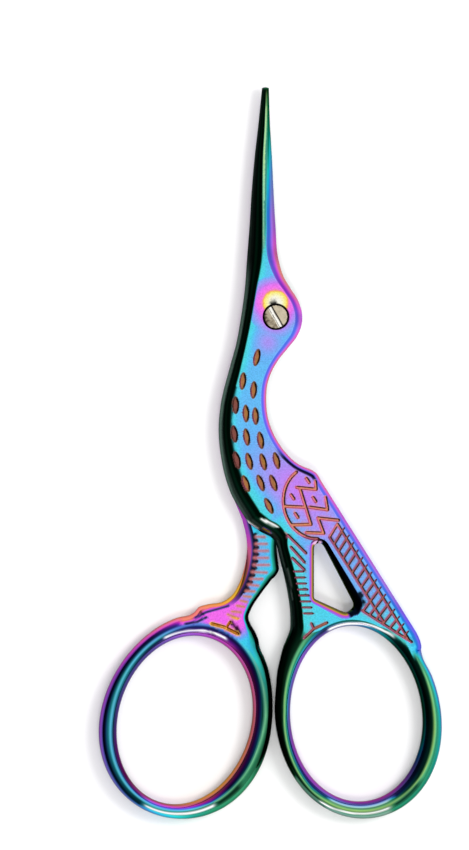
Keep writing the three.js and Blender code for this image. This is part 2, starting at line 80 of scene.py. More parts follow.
def smoothPath(points, step):
    # Cubic curve through points with any number of columns, the first two being x and y. Each span is a
    # Hermite curve whose end slopes are the central differences over the chord length.
    p = np.array(points, float)
    s = np.r_[0, np.cumsum(np.hypot(*np.diff(p[:, :2], axis=0).T))]
    slope = np.gradient(p, s, axis=0)
    at = np.linspace(0, s[-1], int(np.ceil(s[-1] / step)) + 1)
    i = np.clip(np.searchsorted(s, at, side="right") - 1, 0, len(s) - 2)
    h = (s[i + 1] - s[i])[:, None]
    t = ((at - s[i])[:, None]) / h
    return ((1 + 2 * t) * (1 - t) ** 2 * p[i] + t * (1 - t) ** 2 * h * slope[i]
            + t * t * (3 - 2 * t) * p[i + 1] + t * t * (t - 1) * h * slope[i + 1])


def joinPaths(paths):  # one closed loop; the last point of each path is the first of the next
    return np.vstack([path[:-1] for path in paths])


def turned(u, v, degrees, x, y):  # points turned about the origin and then moved
    c, s = np.cos(degrees * turn), np.sin(degrees * turn)
    return np.stack([x + u * c - v * s, y + u * s + v * c], -1)


def ovalPoints(bow, degrees, opening=False):
    # Egg-shaped oval: v = b sin t, u = a cos t (1 - egg sin t), turned by the tilt about its centre.
    halfSpan = (bow["top"] - bows["end"]) / 2
    x, y, tilt, egg = bow["x"], bows["end"] + halfSpan, bow["tilt"], bow["egg"]
    a = bow["halfWidth"]
    b = np.sqrt(halfSpan ** 2 - (a * np.sin(tilt * turn)) ** 2) / np.cos(tilt * turn)
    if opening:
        x, y, tilt, egg = x - bow["left"], y - bow["down"], bow["openTilt"], bow["openEgg"]
        a, b = a - bow["side"], b - bow["endRim"]
    t = np.asarray(degrees) * turn
    return turned(a * np.cos(t) * (1 - egg * np.sin(t)), b * np.sin(t), tilt, x, y)


def edged(points, land, roundness):  # adds the columns of a worked edge: land and roundness
    p = np.array(points, float)
    return np.c_[p, np.full(len(p), land), np.full(len(p), roundness)]


def nearest(points, line, closed=True):
    # Distance from each point to a loop or an open line, positive on its left side, the place of the nearest
    # point in parts of a step, and the unit vector from it to the point.
    xy = line[:, :2]
    count = len(xy)
    distance = np.empty(len(points))
    place = np.empty(len(points))
    away = np.empty((len(points), 2))
    for start in range(0, len(points), 3000):
        p = points[start:start + 3000]
        squared = ((p[:, None, :] - xy[None]) ** 2).sum(-1)
        i = squared.argmin(1)
        best = None
        for first in (i - 1, i):
            if not closed:
                first = np.clip(first, 0, count - 2)
            a, b = xy[first % count], xy[(first + 1) % count]
            d = b - a
            t = np.clip(((p - a) * d).sum(1) / (d ** 2).sum(1), 0, 1)
            off = p - (a + d * t[:, None])
            length = np.hypot(*off.T)
            side = np.where(d[:, 0] * off[:, 1] - d[:, 1] * off[:, 0] >= 0, 1.0, -1.0)
            row = (length, (first + t) % count, off, side)
            if best is None:
                best = row
            else:
                closer = length < best[0]
                best = tuple(np.where(closer if np.ndim(new) == 1 else closer[:, None], new, old)
                             for new, old in zip(row, best))
        length, t, off, side = best
        distance[start:start + 3000] = length * side
        place[start:start + 3000] = t
        away[start:start + 3000] = off / np.maximum(length, 1e-9)[:, None]
    return distance, place, away


def alongLoop(loop, place, column):  # a column of the loop at places in parts of a step
    i = place.astype(int) % len(loop)
    share = place - place.astype(int)
    return loop[i, column] * (1 - share) + loop[(i + 1) % len(loop), column] * share


def inwardNormals(loop):
    xy = loop[:, :2]
    along = np.roll(xy, -1, 0) - np.roll(xy, 1, 0)
    return np.c_[-along[:, 1], along[:, 0]] / np.hypot(*along.T)[:, None]


def triangulate(loops, inner):
    # Delaunay triangles over the loops' points and the inner points, bounded by the loops. The first loop is
    # the outside one, and triangles with all corners on one of the others lie in a hole.
    points = np.vstack([loop[:, :2] for loop in loops] + [inner])
    sizes = [len(loop) for loop in loops]
    starts = np.r_[0, np.cumsum(sizes)]
    edges = np.vstack([np.c_[np.arange(n), (np.arange(n) + 1) % n] + first
                       for n, first in zip(sizes, starts)])
    flat, _, faces, *_ = delaunay_2d_cdt(points.tolist(), edges.tolist(), [], 1, 1e-7)
    if len(flat) != len(points):
        raise ValueError("an outline crosses itself")
    faces = np.array(faces)
    owner = np.searchsorted(starts, faces, side="right") - 1  # which loop each corner is on
    inHole = (owner == owner[:, :1]).all(1) & (owner[:, 0] > 0) & (owner[:, 0] < len(loops))
    return points, faces[~inHole], starts


def edgeShape(share, roundness):  # rise over the edge's width: from a straight bevel to a quarter round
    u = np.clip(share, 0, 1)
    return u + roundness * (np.sqrt(np.maximum(1 - (1 - u) ** 2, 0)) - u)


# where the rows of points across an edge lie, in shares of its width
rowShares = np.array([0.012, 0.05, 0.11, 0.2, 0.3, 0.42, 0.55, 0.68, 0.8, 0.9, 1.0, 1.12, 1.26])


def splitLoops(loops):
    # The lines that edges are measured from: the outside loop in two, from the tip down to the foot and back
    # up, so that both bevels of a blade keep their full width, and each other loop whole.
    ids = np.arange(len(loops[0]))
    foot = loops[0][:, 1].argmin()
    lines = [(0, ids[:foot + 1]), (0, np.r_[ids[foot:], 0])]
    return lines + [(index, np.arange(len(loop))) for index, loop in enumerate(loops) if index]


def insideDistance(found):
    # Distance inside the area for each loop: of the outside loop's two lines the nearer one counts, and where
    # both end in the same nearest point the smaller one.
    first, second = found[0][0], found[1][0]
    tie = np.abs(np.abs(first) - np.abs(second)) < 1e-6
    nearer = np.where(np.abs(first) < np.abs(second), first, second)
    outside = np.where(tie, np.minimum(first, second), nearer)
    return np.minimum.reduce([outside] + [f[0] for f in found[2:]])


spacing = {
    "loop": 0.006,     # least distance of an inner point from a loop
    "carved": 0.05,    # the same for what is carved
    "grid": 0.1,       # least distance of the grid from the edges
    "meet": 0.045,     # cell in which only one point stays
}


def edgeRows(loops, lines, rowList):
    # Points along the edges, and for each the number of its line, its distance from it and its share.
    rows, made = [], []
    for number, (index, ids) in enumerate(lines):
        line, normals = loops[index][ids], inwardNormals(loops[index])[ids]
        for share in rowList:
            rows.append(line[:, :2] + normals * line[:, 2:3] * share)
            made.append(np.c_[np.full(len(line), number), line[:, 2] * share, np.full(len(line), share)])
    return np.vstack(rows), np.vstack(made)


def facePoints(loops, lines, rowList, extra, gridStep):
    # The points inside a face, and what nearest finds for them on each line: the edge rows where no other
    # edge comes nearer, the extra points of what is carved, and a grid beyond the edges. Of points that
    # nearly meet the first one stays.
    rows, made = edgeRows(loops, lines, rowList)
    low, high = loops[0][:, :2].min(0), loops[0][:, :2].max(0)
    grid = np.meshgrid(*(np.arange(a, b, gridStep) for a, b in zip(low, high)))
    grid = np.stack(grid, -1).reshape(-1, 2)
    grid = grid + np.c_[(np.round(grid[:, 1] / gridStep) % 2) * gridStep / 2, np.zeros(len(grid))]
    pool = np.vstack([rows, extra, grid])
    kind = np.r_[np.zeros(len(rows)), np.ones(len(extra)), np.full(len(grid), 2)]
    found = [nearest(pool, loops[index][ids], index > 0) for index, ids in lines]
    least = insideDistance(found)
    distance = np.abs(np.stack([f[0] for f in found]))
    width = np.stack([alongLoop(loops[index][ids], f[1], 2) for (index, ids), f in zip(lines, found)])
    inside = least > spacing["loop"]
    keep = inside & (kind == 1) & (least > spacing["carved"])
    keep |= inside & (kind == 2) & (distance > width + spacing["grid"]).all(0)
    own = made[:, 0].astype(int)
    number = np.arange(len(lines))[:, None]
    unfolded = np.abs(distance[own, np.arange(len(rows))] - made[:, 1]) < 0.02 + 0.04 * made[:, 1]
    shares = (distance / np.maximum(width, 1e-3))[:, :len(rows)]
    limit = np.where((number < 2) & (own < 2), made[:, 2] - 0.03, 0.97)
    clear = (number == own) | (shares > limit)
    keep[:len(rows)] = inside[:len(rows)] & unfolded & clear.all(0)
    chosen = np.flatnonzero(keep)
    cells = np.round(pool[chosen] / spacing["meet"]).astype(int)
    chosen = chosen[np.sort(np.unique(cells, axis=0, return_index=True)[1])]
    return pool[chosen], [[column[chosen] for column in f] for f in found]


def face(loops, crown, rowList, extra, gridStep, side):
    # One face of a half over the area between the loops. Near a loop the height goes from the loop's edge
    # height (column 3) to the crown over the edge's width (column 2) by edgeShape with its roundness
    # (column 4). side is 1 for the top and -1 for the underside. The fields kept for the colours are the
    # share of the nearest edge, the way it faces (out), its loop, and of the outside edge how far beyond it a
    # point lies, the way it faces there (facing) and the distance from its line (inside).
    lines = splitLoops(loops)
    inner, innerFound = facePoints(loops, lines, rowList, extra, gridStep)
    points, faces, starts = triangulate(loops, inner)
    total = len(points)
    edgeFound = [nearest(points[:starts[-1]], loops[index][ids], index > 0) for index, ids in lines]
    top = crown(points)
    height = np.full(total, np.inf)
    fields = {"share": np.ones(total), "out": np.zeros((total, 2)), "loop": np.zeros(total, int),
              "beyond": np.full(total, np.inf), "facing": np.zeros((total, 2)),
              "inside": np.full(total, np.inf)}
    for (index, ids), onEdge, onRest in zip(lines, edgeFound, innerFound):
        line = loops[index][ids]
        d, place, away = (np.concatenate(pair) for pair in zip(onEdge, onRest))
        d = np.abs(d)
        d[starts[index] + ids] = 0
        place[starts[index] + ids] = np.arange(len(line))
        away[starts[index] + ids] = inwardNormals(loops[index])[ids]
        share = np.clip(d / np.maximum(alongLoop(line, place, 2), 1e-3), 0, 1)
        edge = alongLoop(line, place, 3)
        level = edge + (top - edge) * edgeShape(share, alongLoop(line, place, 4))
        height = np.minimum(height, level * side)
        nearer = share < fields["share"]
        fields["share"] = np.where(nearer, share, fields["share"])
        fields["out"] = np.where(nearer[:, None], -away, fields["out"])
        fields["loop"] = np.where(nearer, index, fields["loop"])
        if index == 0:
            fields["inside"] = np.minimum(fields["inside"], d)
            beyond = np.maximum(d - alongLoop(line, place, 2), 0)
            nearer = beyond < fields["beyond"]
            fields["beyond"] = np.where(nearer, beyond, fields["beyond"])
            fields["facing"] = np.where(nearer[:, None], -away, fields["facing"])
    fields["xy"], fields["z"] = points, height * side
    return fields, faces, starts


def grooveRows(segments, step):  # points along both rims, the flanks and the floor of straight grooves
    rows = []
    for x0, y0, x1, y1, width, _ in segments:
        a, b = np.array([x0, y0]), np.array([x1, y1])
        length = np.hypot(*(b - a))
        along, across = (b - a) / length, np.array([-(b - a)[1], (b - a)[0]]) / length
        s = np.linspace(-width * 0.5, length + width * 0.5, int(np.ceil(length / step)) + 3)
        v = np.array([-0.62, -0.5, -0.3, 0, 0.3, 0.5, 0.62]) * width
        rows.append((a + s[:, None, None] * along + v[:, None] * across).reshape(-1, 2))
    return np.vstack(rows)


def fromSpan(points, a, b):  # distance of points from a straight span
    d = b - a
    t = np.clip(((points - a) @ d) / (d @ d), 0, 1)
    return np.hypot(*(points - a - t[:, None] * d).T)


def grooveDepth(points, segments, flank):
    # Depth below the face, and how far inside a groove each point is from 0 to 1. The section is a flat
    # floor with sloping flanks, measured by the distance to the groove's centre line in widths.
    depth = np.zeros(len(points))
    inside = np.zeros(len(points))
    for x0, y0, x1, y1, width, deep in segments:
        off = fromSpan(points, np.array([x0, y0]), np.array([x1, y1])) / width
        within = 1 - smoothstep(*flank, off)
        depth = np.maximum(depth, deep * within)
        inside = np.maximum(inside, 1 - smoothstep(0.52, 0.7, off))
    return depth, inside


def dimpleFrame(points, dimple):  # distance from an oval dimple's centre in its own half sizes
    x, y, halfLength, halfWidth, lean = dimple
    c, s = np.cos(lean * turn), np.sin(lean * turn)
    dx, dy = points[:, 0] - x, points[:, 1] - y
    return (dx * c + dy * s) / halfWidth, (-dx * s + dy * c) / halfLength


def dimpleRows(dimples):
    angles = np.arange(0, 360, 15) * turn
    sizes = np.array([0.01, 0.25, 0.45, 0.6, 0.74, 0.87, 1.0, 1.12])
    u, v = np.cos(angles) * sizes[:, None], np.sin(angles) * sizes[:, None]
    rows = []
    for x, y, halfLength, halfWidth, lean in dimples:
        rows.append(turned(u * halfWidth, v * halfLength, lean, x, y).reshape(-1, 2))
    return np.vstack(rows)


def dimpleDepth(points, dimples, deep):
    # A dimple is a shallow bowl with a steep rim: depth falls from the centre as a smooth step of the oval
    # radius.
    depth = np.zeros(len(points))
    inside = np.zeros(len(points))
    for dimple in dimples:
        radius = np.hypot(*dimpleFrame(points, dimple))
        depth = np.maximum(depth, deep * (1 - smoothstep(0.55, 1.04, radius)))
        inside = np.maximum(inside, 1 - smoothstep(0.98, 1.12, radius))
    return depth, inside


def thicknessAt(y):  # full up to the blade's root, then thinning evenly to the tip
    share = np.clip((y - halves["bladeRoot"]) / (halves["tip"] - halves["bladeRoot"]), 0, 1)
    return halves["thickness"] + (halves["tipThickness"] - halves["thickness"]) * share


def makeMesh(name, vertices, faces, body, node, attributes, sharpAngle=38):
    mesh = bpy.data.meshes.new(name)
    mesh.vertices.add(len(vertices))
    mesh.vertices.foreach_set("co", (vertices * mm).astype(np.float32).ravel())
    mesh.loops.add(faces.size)
    mesh.loops.foreach_set("vertex_index", faces.astype(np.int32).ravel())
    mesh.polygons.add(len(faces))
    mesh.polygons.foreach_set("loop_start", np.arange(0, faces.size, 3, dtype=np.int32))
    for key, values in attributes.items():
        layer = mesh.attributes.new(key, "FLOAT", "POINT")
        layer.data.foreach_set("value", values.astype(np.float32))
    mesh.update(calc_edges=True)
    mesh.validate()
    mesh.polygons.foreach_set("use_smooth", np.ones(len(mesh.polygons), bool))
    mesh.set_sharp_from_angle(angle=sharpAngle * turn)
    piece = bpy.data.objects.new(name, mesh)
    bpy.context.scene.collection.objects.link(piece)
    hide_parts(node)
    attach(piece, body)
    print(name, len(vertices), "points", len(faces), "triangles")
    return piece


# Outlines, counter-clockwise seen from the front: x, y and the width of the worked edge there

# share of the blade from root to tip: left edge, ridge left, ridge right, right edge
bladeStations = [[0, -4.55, -2.1, -1.27, 0.42], [0.2, -4.13, -1.96, -1.55, -0.05],
                 [0.4, -3.8, -1.99, -1.51, -0.36], [0.6, -3.33, -1.93, -1.4, -0.61],
                 [0.8, -2.72, -1.66, -1.36, -0.93], [1, -2.18, -1.52, -1.38, -1.09]]
neckBack = [[-4.88, 4.5, 1.96], [-5.48, 0, 1.76], [-6.26, -4.3, 1.65], [-7.27, -8, 1.8], [-8.7, -13.9, 1.85],
            [-9.01, -17.8, 2], [-8.68, -21.7, 2.2], [-7.1, -27.7, 2.6], [-4.35, -32.4, 2.65]]
belly = [[-4.35, -32.4, 2.65], [-2.1, -33.95, 2.5], [-0.8, -34.6, 2.4], [-0.1, -35.3, 2.2]]
rightLeg = [[0.1, -35.9, 1.9], [0.64, -38.2, 1.85], [1.3, -40.8, 1.9], [1.85, -43.5, 1.95],
            [2.17, -45.7, 2.05], [2.27, -48, 2.1], [2.2, -49.2, 2.1], [1.85, -50.2, 2], [1.11, -52, 1.9],
            [0.6, -53.9, 1.9], [0.17, -56, 1.8]]
tailCorner = [[22.84, -52.35, 1.1], [22.9, -51.9, 1], [22.75, -51.1, 0.9], [22.1, -49.6, 0.95]]
tailEdge = [[22.1, -49.6, 0.95], [7.1, -25.75, 0.95]]
tailTop = [[7.1, -25.75, 0.95], [6.75, -25.1, 0.95], [6.3, -24.5, 0.9], [5.6, -24.05, 0.9]]
nape = [[5.6, -24.05, 0.9], [3.47, -23.1, 0.8], [1.35, -21.1, 0.85], [-0.06, -19, 0.85], [-1.16, -16.2, 0.85],
        [-1.51, -13.1, 0.87], [-1.32, -10.6, 0.85], [-0.69, -8.7, 0.85], [0.38, -6.8, 0.85],
        [1.9, -4.9, 0.95], [3.36, -3, 1.1], [4.07, -1.15, 1.2], [4.13, 0.4, 1.2], [3.47, 2.6, 1.15],
        [2.29, 4.5, 1.15], [1.19, 6.4, 1.35]]
leftLegOut = [[-5.1, -32.6, 1.2], [-4.65, -34.6, 1.3], [-4.52, -36.6, 1.45], [-4.75, -38.5, 1.5],
              [-5.25, -40.5, 1.5], [-5.95, -42.3, 1.4], [-6.95, -43.8, 1.3], [-8.3, -44.75, 1.25],
              [-10.7, -45.2, 1.3], [-12.2, -45.7, 1.3], [-12.75, -46.35, 1.3], [-13.3, -46.75, 1.35]]
leftLegIn = [[-0.85, -56.9, 1.5], [-1.25, -55.1, 1.5], [-1.84, -53.5, 1.5], [-2.5, -52, 1.4],
             [-2.72, -50.8, 1.3], [-3.2, -49.6, 1.2], [-3.95, -48.3, 1.1], [-4.3, -47.3, 1.1],
             [-3.88, -46, 1.15], [-2.37, -43.6, 1.2], [-0.72, -41.4, 1.3]]
leftKnee = [[-0.72, -41.4, 1.3], [0.2, -40.4, 1.35], [0.48, -39.8, 1.4], [0.42, -39, 1.4], [0.22, -37.4, 1.4],
            [0.1, -36, 1.2]]
neckFront = [[0.1, -36, 1.2], [0.17, -31.9, 0.8], [0.15, -28.8, 0.8], [0.05, -25.6, 0.8], [-0.3, -22.5, 0.8],
             [-0.93, -19.4, 0.8]]
window = [[5.98, -35.6, 0.8], [5.98, -44.3, 0.4], [11.1, -46.6, 0.7], [12.4, -45.4, 0.8], [7.3, -35.6, 0.6]]
windowEdge = [0.8, 0.8, 1.1, 1.45, 0.8]  # width of the worked edge at each corner
windowRim = {"height": 1.6, "drop": 0.85, "roundness": 0.25}  # the drop is on the right side


def bladeSide(side, mirrored):
    # One side of a blade from root to tip as x, y, edge width, land and roundness: cutting edge or spine.
    rows = np.array(bladeStations)
    y = halves["bladeRoot"] + rows[:, 0] * (halves["tip"] - halves["bladeRoot"])
    if side == "left":
        points = np.c_[rows[:, 1], y, rows[:, 2] - rows[:, 1]]
    else:
        points = np.c_[rows[:, 4], y, rows[:, 4] - rows[:, 3]]
    cutting = (side == "right") != mirrored
    return edged(points, halves["landCut"] if cutting else halves["landRolled"], 0 if cutting else 0.8)


def bladeEnd(right, left, step):
    bulge = (right + left) / 2 + [0, halves["tipBulge"], 0, 0, 0]
    return smoothPath(np.vstack([right, bulge, left]), step)


def bowSide(bow, start, end):  # points round a bow, with the edge worked to half its rim further on
    degrees = np.linspace(start, end, int(abs(end - start) / 12) + 1)
    return edged(np.c_[ovalPoints(bow, degrees), np.full(len(degrees), 1.6)], 0, 1)


def roundedLoop(corners, step, widths):
    # A polygon with round corners: each corner is a quadratic curve between points a radius away from it.
    p = np.array(corners, float)
    xy, radius = p[:, :2], p[:, 2:3]
    before, after = np.roll(xy, 1, 0) - xy, np.roll(xy, -1, 0) - xy
    a = xy + before / np.hypot(*before.T)[:, None] * radius
    b = xy + after / np.hypot(*after.T)[:, None] * radius
    t = np.linspace(0, 1, 6)[None, :, None]
    arcs = (1 - t) ** 2 * a[:, None] + 2 * t * (1 - t) * xy[:, None] + t * t * b[:, None]
    width = np.repeat(np.array(widths)[:, None, None], 6, 1)
    path = np.concatenate([arcs, width], 2).reshape(-1, 3)
    path = np.vstack([path, path[:1]])
    s = np.r_[0, np.cumsum(np.hypot(*np.diff(path[:, :2], axis=0).T))]
    at = np.linspace(0, s[-1], int(s[-1] / step) + 1)[:-1]
    return np.stack([np.interp(at, s, path[:, k]) for k in range(3)], -1)


def thinnedLand(points):  # the rim under the right bevel thins from the pivot to a cutting edge
    points[:, 3] = np.interp(points[:, 1], [1, 14], [halves["landBevel"], halves["landCut"]])
    return points


def circleLoop(radius, count):
    t = np.arange(count) / count * 2 * np.pi
    return np.c_[radius * np.cos(t), radius * np.sin(t)]


def withEdge(loop, width, height, roundness):  # full columns of a hole's loop, which runs clockwise
    return np.c_[loop[:, :2], *(np.broadcast_to(value, len(loop)) for value in (width, height, roundness))]


def roundHole(radius, count, width, height):
    return withEdge(circleLoop(radius, count)[::-1], width, height, 0)


def rimShared(loop, other, body):
    # Where a loop runs along a bow's rim its edge goes half way to the other side of the rim; elsewhere it
    # keeps its own width, or the body's where one is given.
    gap = np.abs(nearest(loop[:, :2], other)[0])
    own = loop[:, 2] if body is None else np.full(len(loop), body)
    share = smoothstep(3.7, 5.5, gap)
    return gap / 2 * (1 - share) + own * share


def bowOpening(bow, outline, step):  # the finger opening's loop, clockwise, with its share of the rim
    loop = ovalPoints(bow, -np.arange(0, 360, step / 12.2 / turn), True)
    loop = np.c_[loop, np.zeros(len(loop))]
    return withEdge(loop, rimShared(loop, outline, 1.1), rimHigh, 1)


def withBow(outline, bow, step):
    # An outline that runs round a bow, with its edge's width settled, the bow's opening, and how far each
    # point is already part of the bow.
    opening = bowOpening(bow, outline, step)
    outline[:, 2] = rimShared(outline, opening, None)
    return outline, opening, smoothstep(*bow["merge"], outline[:, 1])


def frontLoops(step):
    left = np.vstack([bladeSide("left", False)[::-1], edged(neckBack, halves["landRolled"], 1)])
    land = halves["landRolled"]
    paths = [
        smoothPath(left, step),
        smoothPath(edged(belly, land, 1), step),
        smoothPath(np.vstack([edged([belly[-1]], land, 1), edged(rightLeg, land, 1),
                              bowSide(bows["right"], 160, 383), edged(tailCorner[:1], 0, 1)]), step),
        smoothPath(edged(tailCorner, 0.5, 0.3), step),
        smoothPath(edged(tailEdge, halves["landBevel"], 0), step),
        smoothPath(edged(tailTop, halves["landBevel"], 0), step),
        smoothPath(thinnedLand(np.vstack([edged(nape, 0, 0), bladeSide("right", False)])), step),
    ]
    outline = joinPaths(paths + [bladeEnd(paths[-1][-1], paths[0][0], step)])
    outline, opening, bowShare = withBow(outline, bows["right"], step)
    outline[:, 3] = frontBase + outline[:, 3] * (1 - bowShare) + (rimHigh - frontBase) * bowShare
    under = outline.copy()
    under[:, 3] = frontBase * (1 - bowShare) + rimLow * bowShare
    hole = roundedLoop(window, step, windowEdge)
    if (np.roll(hole[:, 0], -1) * hole[:, 1] - hole[:, 0] * np.roll(hole[:, 1], -1)).sum() < 0:
        hole = hole[::-1]
    corner = window[-1]
    steep = smoothstep(-1, -0.3, hole[:, 0] - corner[0] + (hole[:, 1] - corner[1]) * 0.52)
    height = frontBase + windowRim["height"] - windowRim["drop"] * steep
    return outline, under, opening, withEdge(hole, hole[:, 2], height, windowRim["roundness"])


def rearLoops(step):
    inset = 0.15  # the rear half lies this far inside the front one where they share their outline
    left = np.vstack([bladeSide("left", True)[::-1], edged(neckBack[:-1], halves["landRolled"], 1)])
    left[:, 0] += inset
    land = halves["landRolled"]
    right = np.vstack([edged(neckFront[-1:], land, 0), edged(nape[4:], halves["landBevel"], 0),
                       bladeSide("right", True)])
    right = np.vstack([right[:1], thinnedLand(right[1:])])
    right[:, 0] -= inset
    out = smoothPath(np.vstack([left, edged(leftLegOut, land, 1), bowSide(bows["left"], 118, 370),
                                edged(leftLegIn, land, 1)]), step)
    knee = smoothPath(edged(leftKnee, land, 1), step)
    neck = smoothPath(np.vstack([edged(neckFront, land, 0.5), right[1:]]), step)
    outline = joinPaths([out, knee, neck, bladeEnd(neck[-1], out[0], step)])
    outline, opening, bowShare = withBow(outline, bows["left"], step)
    under = outline.copy()
    under[:, 3] = (halves["thickness"] - under[:, 3]) * (1 - bowShare) + rimLow * bowShare
    outline[:, 3] = halves["thickness"] * (1 - bowShare) + rimHigh * bowShare
    return outline, under, opening


def shell(top, under, rings):
    # Joins the top and the underside of a half by walls. rings gives, for a loop, the radius and height of
    # further rings between the two, for the counterbore.
    topFields, topFaces, starts = top
    lowFields, lowFaces, _ = under
    vertices = [np.c_[topFields["xy"], topFields["z"]], np.c_[lowFields["xy"], lowFields["z"]]]
    side = [np.ones(len(vertices[0])), -np.ones(len(vertices[1]))]
    faces = [topFaces, lowFaces[:, ::-1] + len(vertices[0])]
    total = len(vertices[0]) + len(vertices[1])
    extra = {key: [] for key in topFields if key not in ("xy", "z")}
    for index in range(len(starts) - 1):
        count = starts[index + 1] - starts[index]
        ring = np.arange(count)
        levels = [ring + starts[index]]
        for radius, height in rings.get(index, []):
            xy = topFields["xy"][levels[0]]
            vertices.append(np.c_[xy / np.hypot(*xy.T)[:, None] * radius, np.full(count, height)])
            side.append(np.zeros(count))
            levels.append(ring + total)
            total += count
            for key in extra:
                extra[key].append(topFields[key][levels[0]])
        levels.append(ring + starts[index] + len(topFields["xy"]))
        for high, low in zip(levels, levels[1:]):
            a, b, c, d = high, np.roll(high, -1), np.roll(low, -1), low
            faces += [np.c_[d, c, b], np.c_[d, b, a]]
    fields = {key: np.concatenate([topFields[key], lowFields[key]] + extra[key]) for key in extra}
    fields["side"] = np.concatenate(side)
    fields["xyz"] = np.vstack(vertices)
    return fields, np.vstack(faces)


def carvedFace(loops, crown, rowList, gridStep, side, grooves, dimples, dimpleDeep=0.3, flank=(0.26, 0.56),
               edgeKept=0.35):
    # A face with its grooves and dimples cut in, straight down from the crown. Nothing is cut in the
    # outermost share edgeKept of an edge.
    extra = [np.zeros((0, 2))]
    if len(dimples):
        extra.append(dimpleRows(dimples))
    if len(grooves):
        extra.append(grooveRows(grooves, 0.13))
    fields, faces, starts = face(loops, crown, rowList, np.vstack(extra), gridStep, side)

    def cut(points):
        grooveDeep, inGroove = grooveDepth(points, grooves, flank)
        dimpleFar, inDimple = dimpleDepth(points, dimples, dimpleDeep)
        return np.maximum(grooveDeep, dimpleFar), np.maximum(inGroove, inDimple), inDimple

    inside = smoothstep(0, edgeKept, fields["share"]) if edgeKept else 1.0
    deep, carved, fields["dimple"] = cut(fields["xy"])
    fields["z"] -= side * deep * inside
    fields["carved"] = carved * inside
    fields["depth"] = deep * inside / plumage["deep"]
    # used to paint shade on the walls of what is carved
    shift = np.array([0.09, 0.035])  # walls that face left, where the depth falls towards the right
    fields["wall"] = (cut(fields["xy"] - shift)[0] - cut(fields["xy"] + shift)[0]) / plumage["deep"]
    return fields, faces, starts


# Plumage cut into the front face. Grooves are rows of x, y at both ends, width and depth, feathers are the
# centres of oval dimples, and barbs are spaced by a pitch along each of the tail's quills.

plumage = {"width": 0.5, "fine": 0.41, "deep": 0.26, "ribWidth": 0.58, "ribDeep": 0.1,
           "featherLength": 1.34, "featherWidth": 0.53, "featherDeep": 0.3,
           "barbPitch": 1.327, "barbPitchOut": 1.359, "barbCount": 16}
feathers = [[-3, -6.4], [-5.2, -10.1], [-3.5, -11.5], [-6.3, -13.9], [-4.7, -15.2], [-3.2, -15.6],
            [-6.5, -18.4], [-4.6, -18.9], [-2.4, -19.4], [-6.1, -22.5], [-4.2, -22.7], [-2, -22.8],
            [0.1, -22.6], [-4.7, -26.2], [-2.4, -26.1], [-0.4, -26.1], [-1.1, -29.7]]


def featherDimples():  # the ovals lean with the neck, more and more to the right further down
    p = np.array(feathers)
    lean = -12.5 + (-6.4 - p[:, 1]) * 1.66
    return np.c_[p, np.full(len(p), plumage["featherLength"]), np.full(len(p), plumage["featherWidth"]), lean]


def lineGrooves(line, width):  # one groove for each span of a line
    p = np.array(line, float)
    return np.c_[p[:-1], p[1:], np.full(len(p) - 1, width), np.full(len(p) - 1, plumage["deep"])]


wingOval = {"x": 6.1, "y": -29.2, "halfWidth": 4.9, "halfLength": 5.7, "tilt": 12, "start": 112,
            "pitch": 6.5, "points": 24, "reach": (5.6, 6.4)}  # reach: half sizes of what is coloured as wing


def wingGrooves():
    t = (wingOval["start"] + np.arange(wingOval["points"]) * wingOval["pitch"]) * turn
    oval = turned(wingOval["halfWidth"] * np.cos(t), wingOval["halfLength"] * np.sin(t), wingOval["tilt"],
                  wingOval["x"], wingOval["y"])
    lines = [[[1.3, -29.75], [4.4, -29.9]], [[3.3, -26.8], [6.3, -27.1], [6.2, -25.9]],
             [[3.8, -27.1], [5.5, -32.6], [2.4, -32.7]], [[5.3, -29.9], [8.1, -30.3], [7.8, -28.4]],
             [[9.8, -31.95], [6.6, -31.6], [7.5, -34], [4.8, -33.9]]]
    strokes = [[[4.8, -25.4], [5.2, -26.0]], [[2.4, -28], [2.8, -28.6]], [[5.85, -28.4], [6.25, -29]],
               [[3.05, -30.9], [3.45, -31.5]]]
    return np.vstack([lineGrooves(oval, plumage["width"])]
                     + [lineGrooves(line, plumage["width"]) for line in lines]
                     + [lineGrooves(stroke, 0.5) for stroke in strokes])


def alongLine(line, distance):  # the point some way along a line through two points, going on past its end
    a, b = np.array(line[0], float), np.array(line[1], float)
    return a + (b - a) / np.hypot(*(b - a)) * np.asarray(distance)[..., None]


def tailGrooves():
    # Two quills with bars between them, spaced a little wider along the outer one. The bars go on past the
    # outer quill, and the last ones past the inner quill too, down to the hem.
    quillIn = [[8.42, -34.59], [16.97, -48.01]]
    quillOut = [[9.67, -32.55], [20.97, -50.85]]
    hem = [[13.6, -46.15], [16.97, -48.3], [19.2, -49.75], [21.3, -51.05]]
    i = np.arange(plumage["barbCount"])
    root = alongLine(quillIn, i * plumage["barbPitch"])
    end = alongLine(quillOut, i * plumage["barbPitchOut"])
    on = (end - root) / np.hypot(*(end - root).T)[:, None]
    slope, firstToHem = 0.636, 9
    (hemX, hemY), *_ = hem
    toHem = ((hemY - (root[:, 0] - hemX) * slope) - root[:, 1]) / (on[:, 1] + on[:, 0] * slope)
    root = root + on * np.where(i >= firstToHem, toHem, 0)[:, None]
    fine = plumage["fine"]
    barbs = np.c_[root, end, np.full(len(i), fine), np.full(len(i), plumage["deep"])]
    tips = np.c_[end, end + on * 0.62, np.full(len(i), 0.22), np.full(len(i), plumage["deep"])][1:]
    return np.vstack([lineGrooves(quillIn, fine), lineGrooves(quillOut, fine), barbs, tips,
                      lineGrooves(hem, fine)])


legRibs = {"x": 3, "y": -40, "right": 0.21, "down": 0.94, "count": 8, "length": 1.3, "width": 0.28}


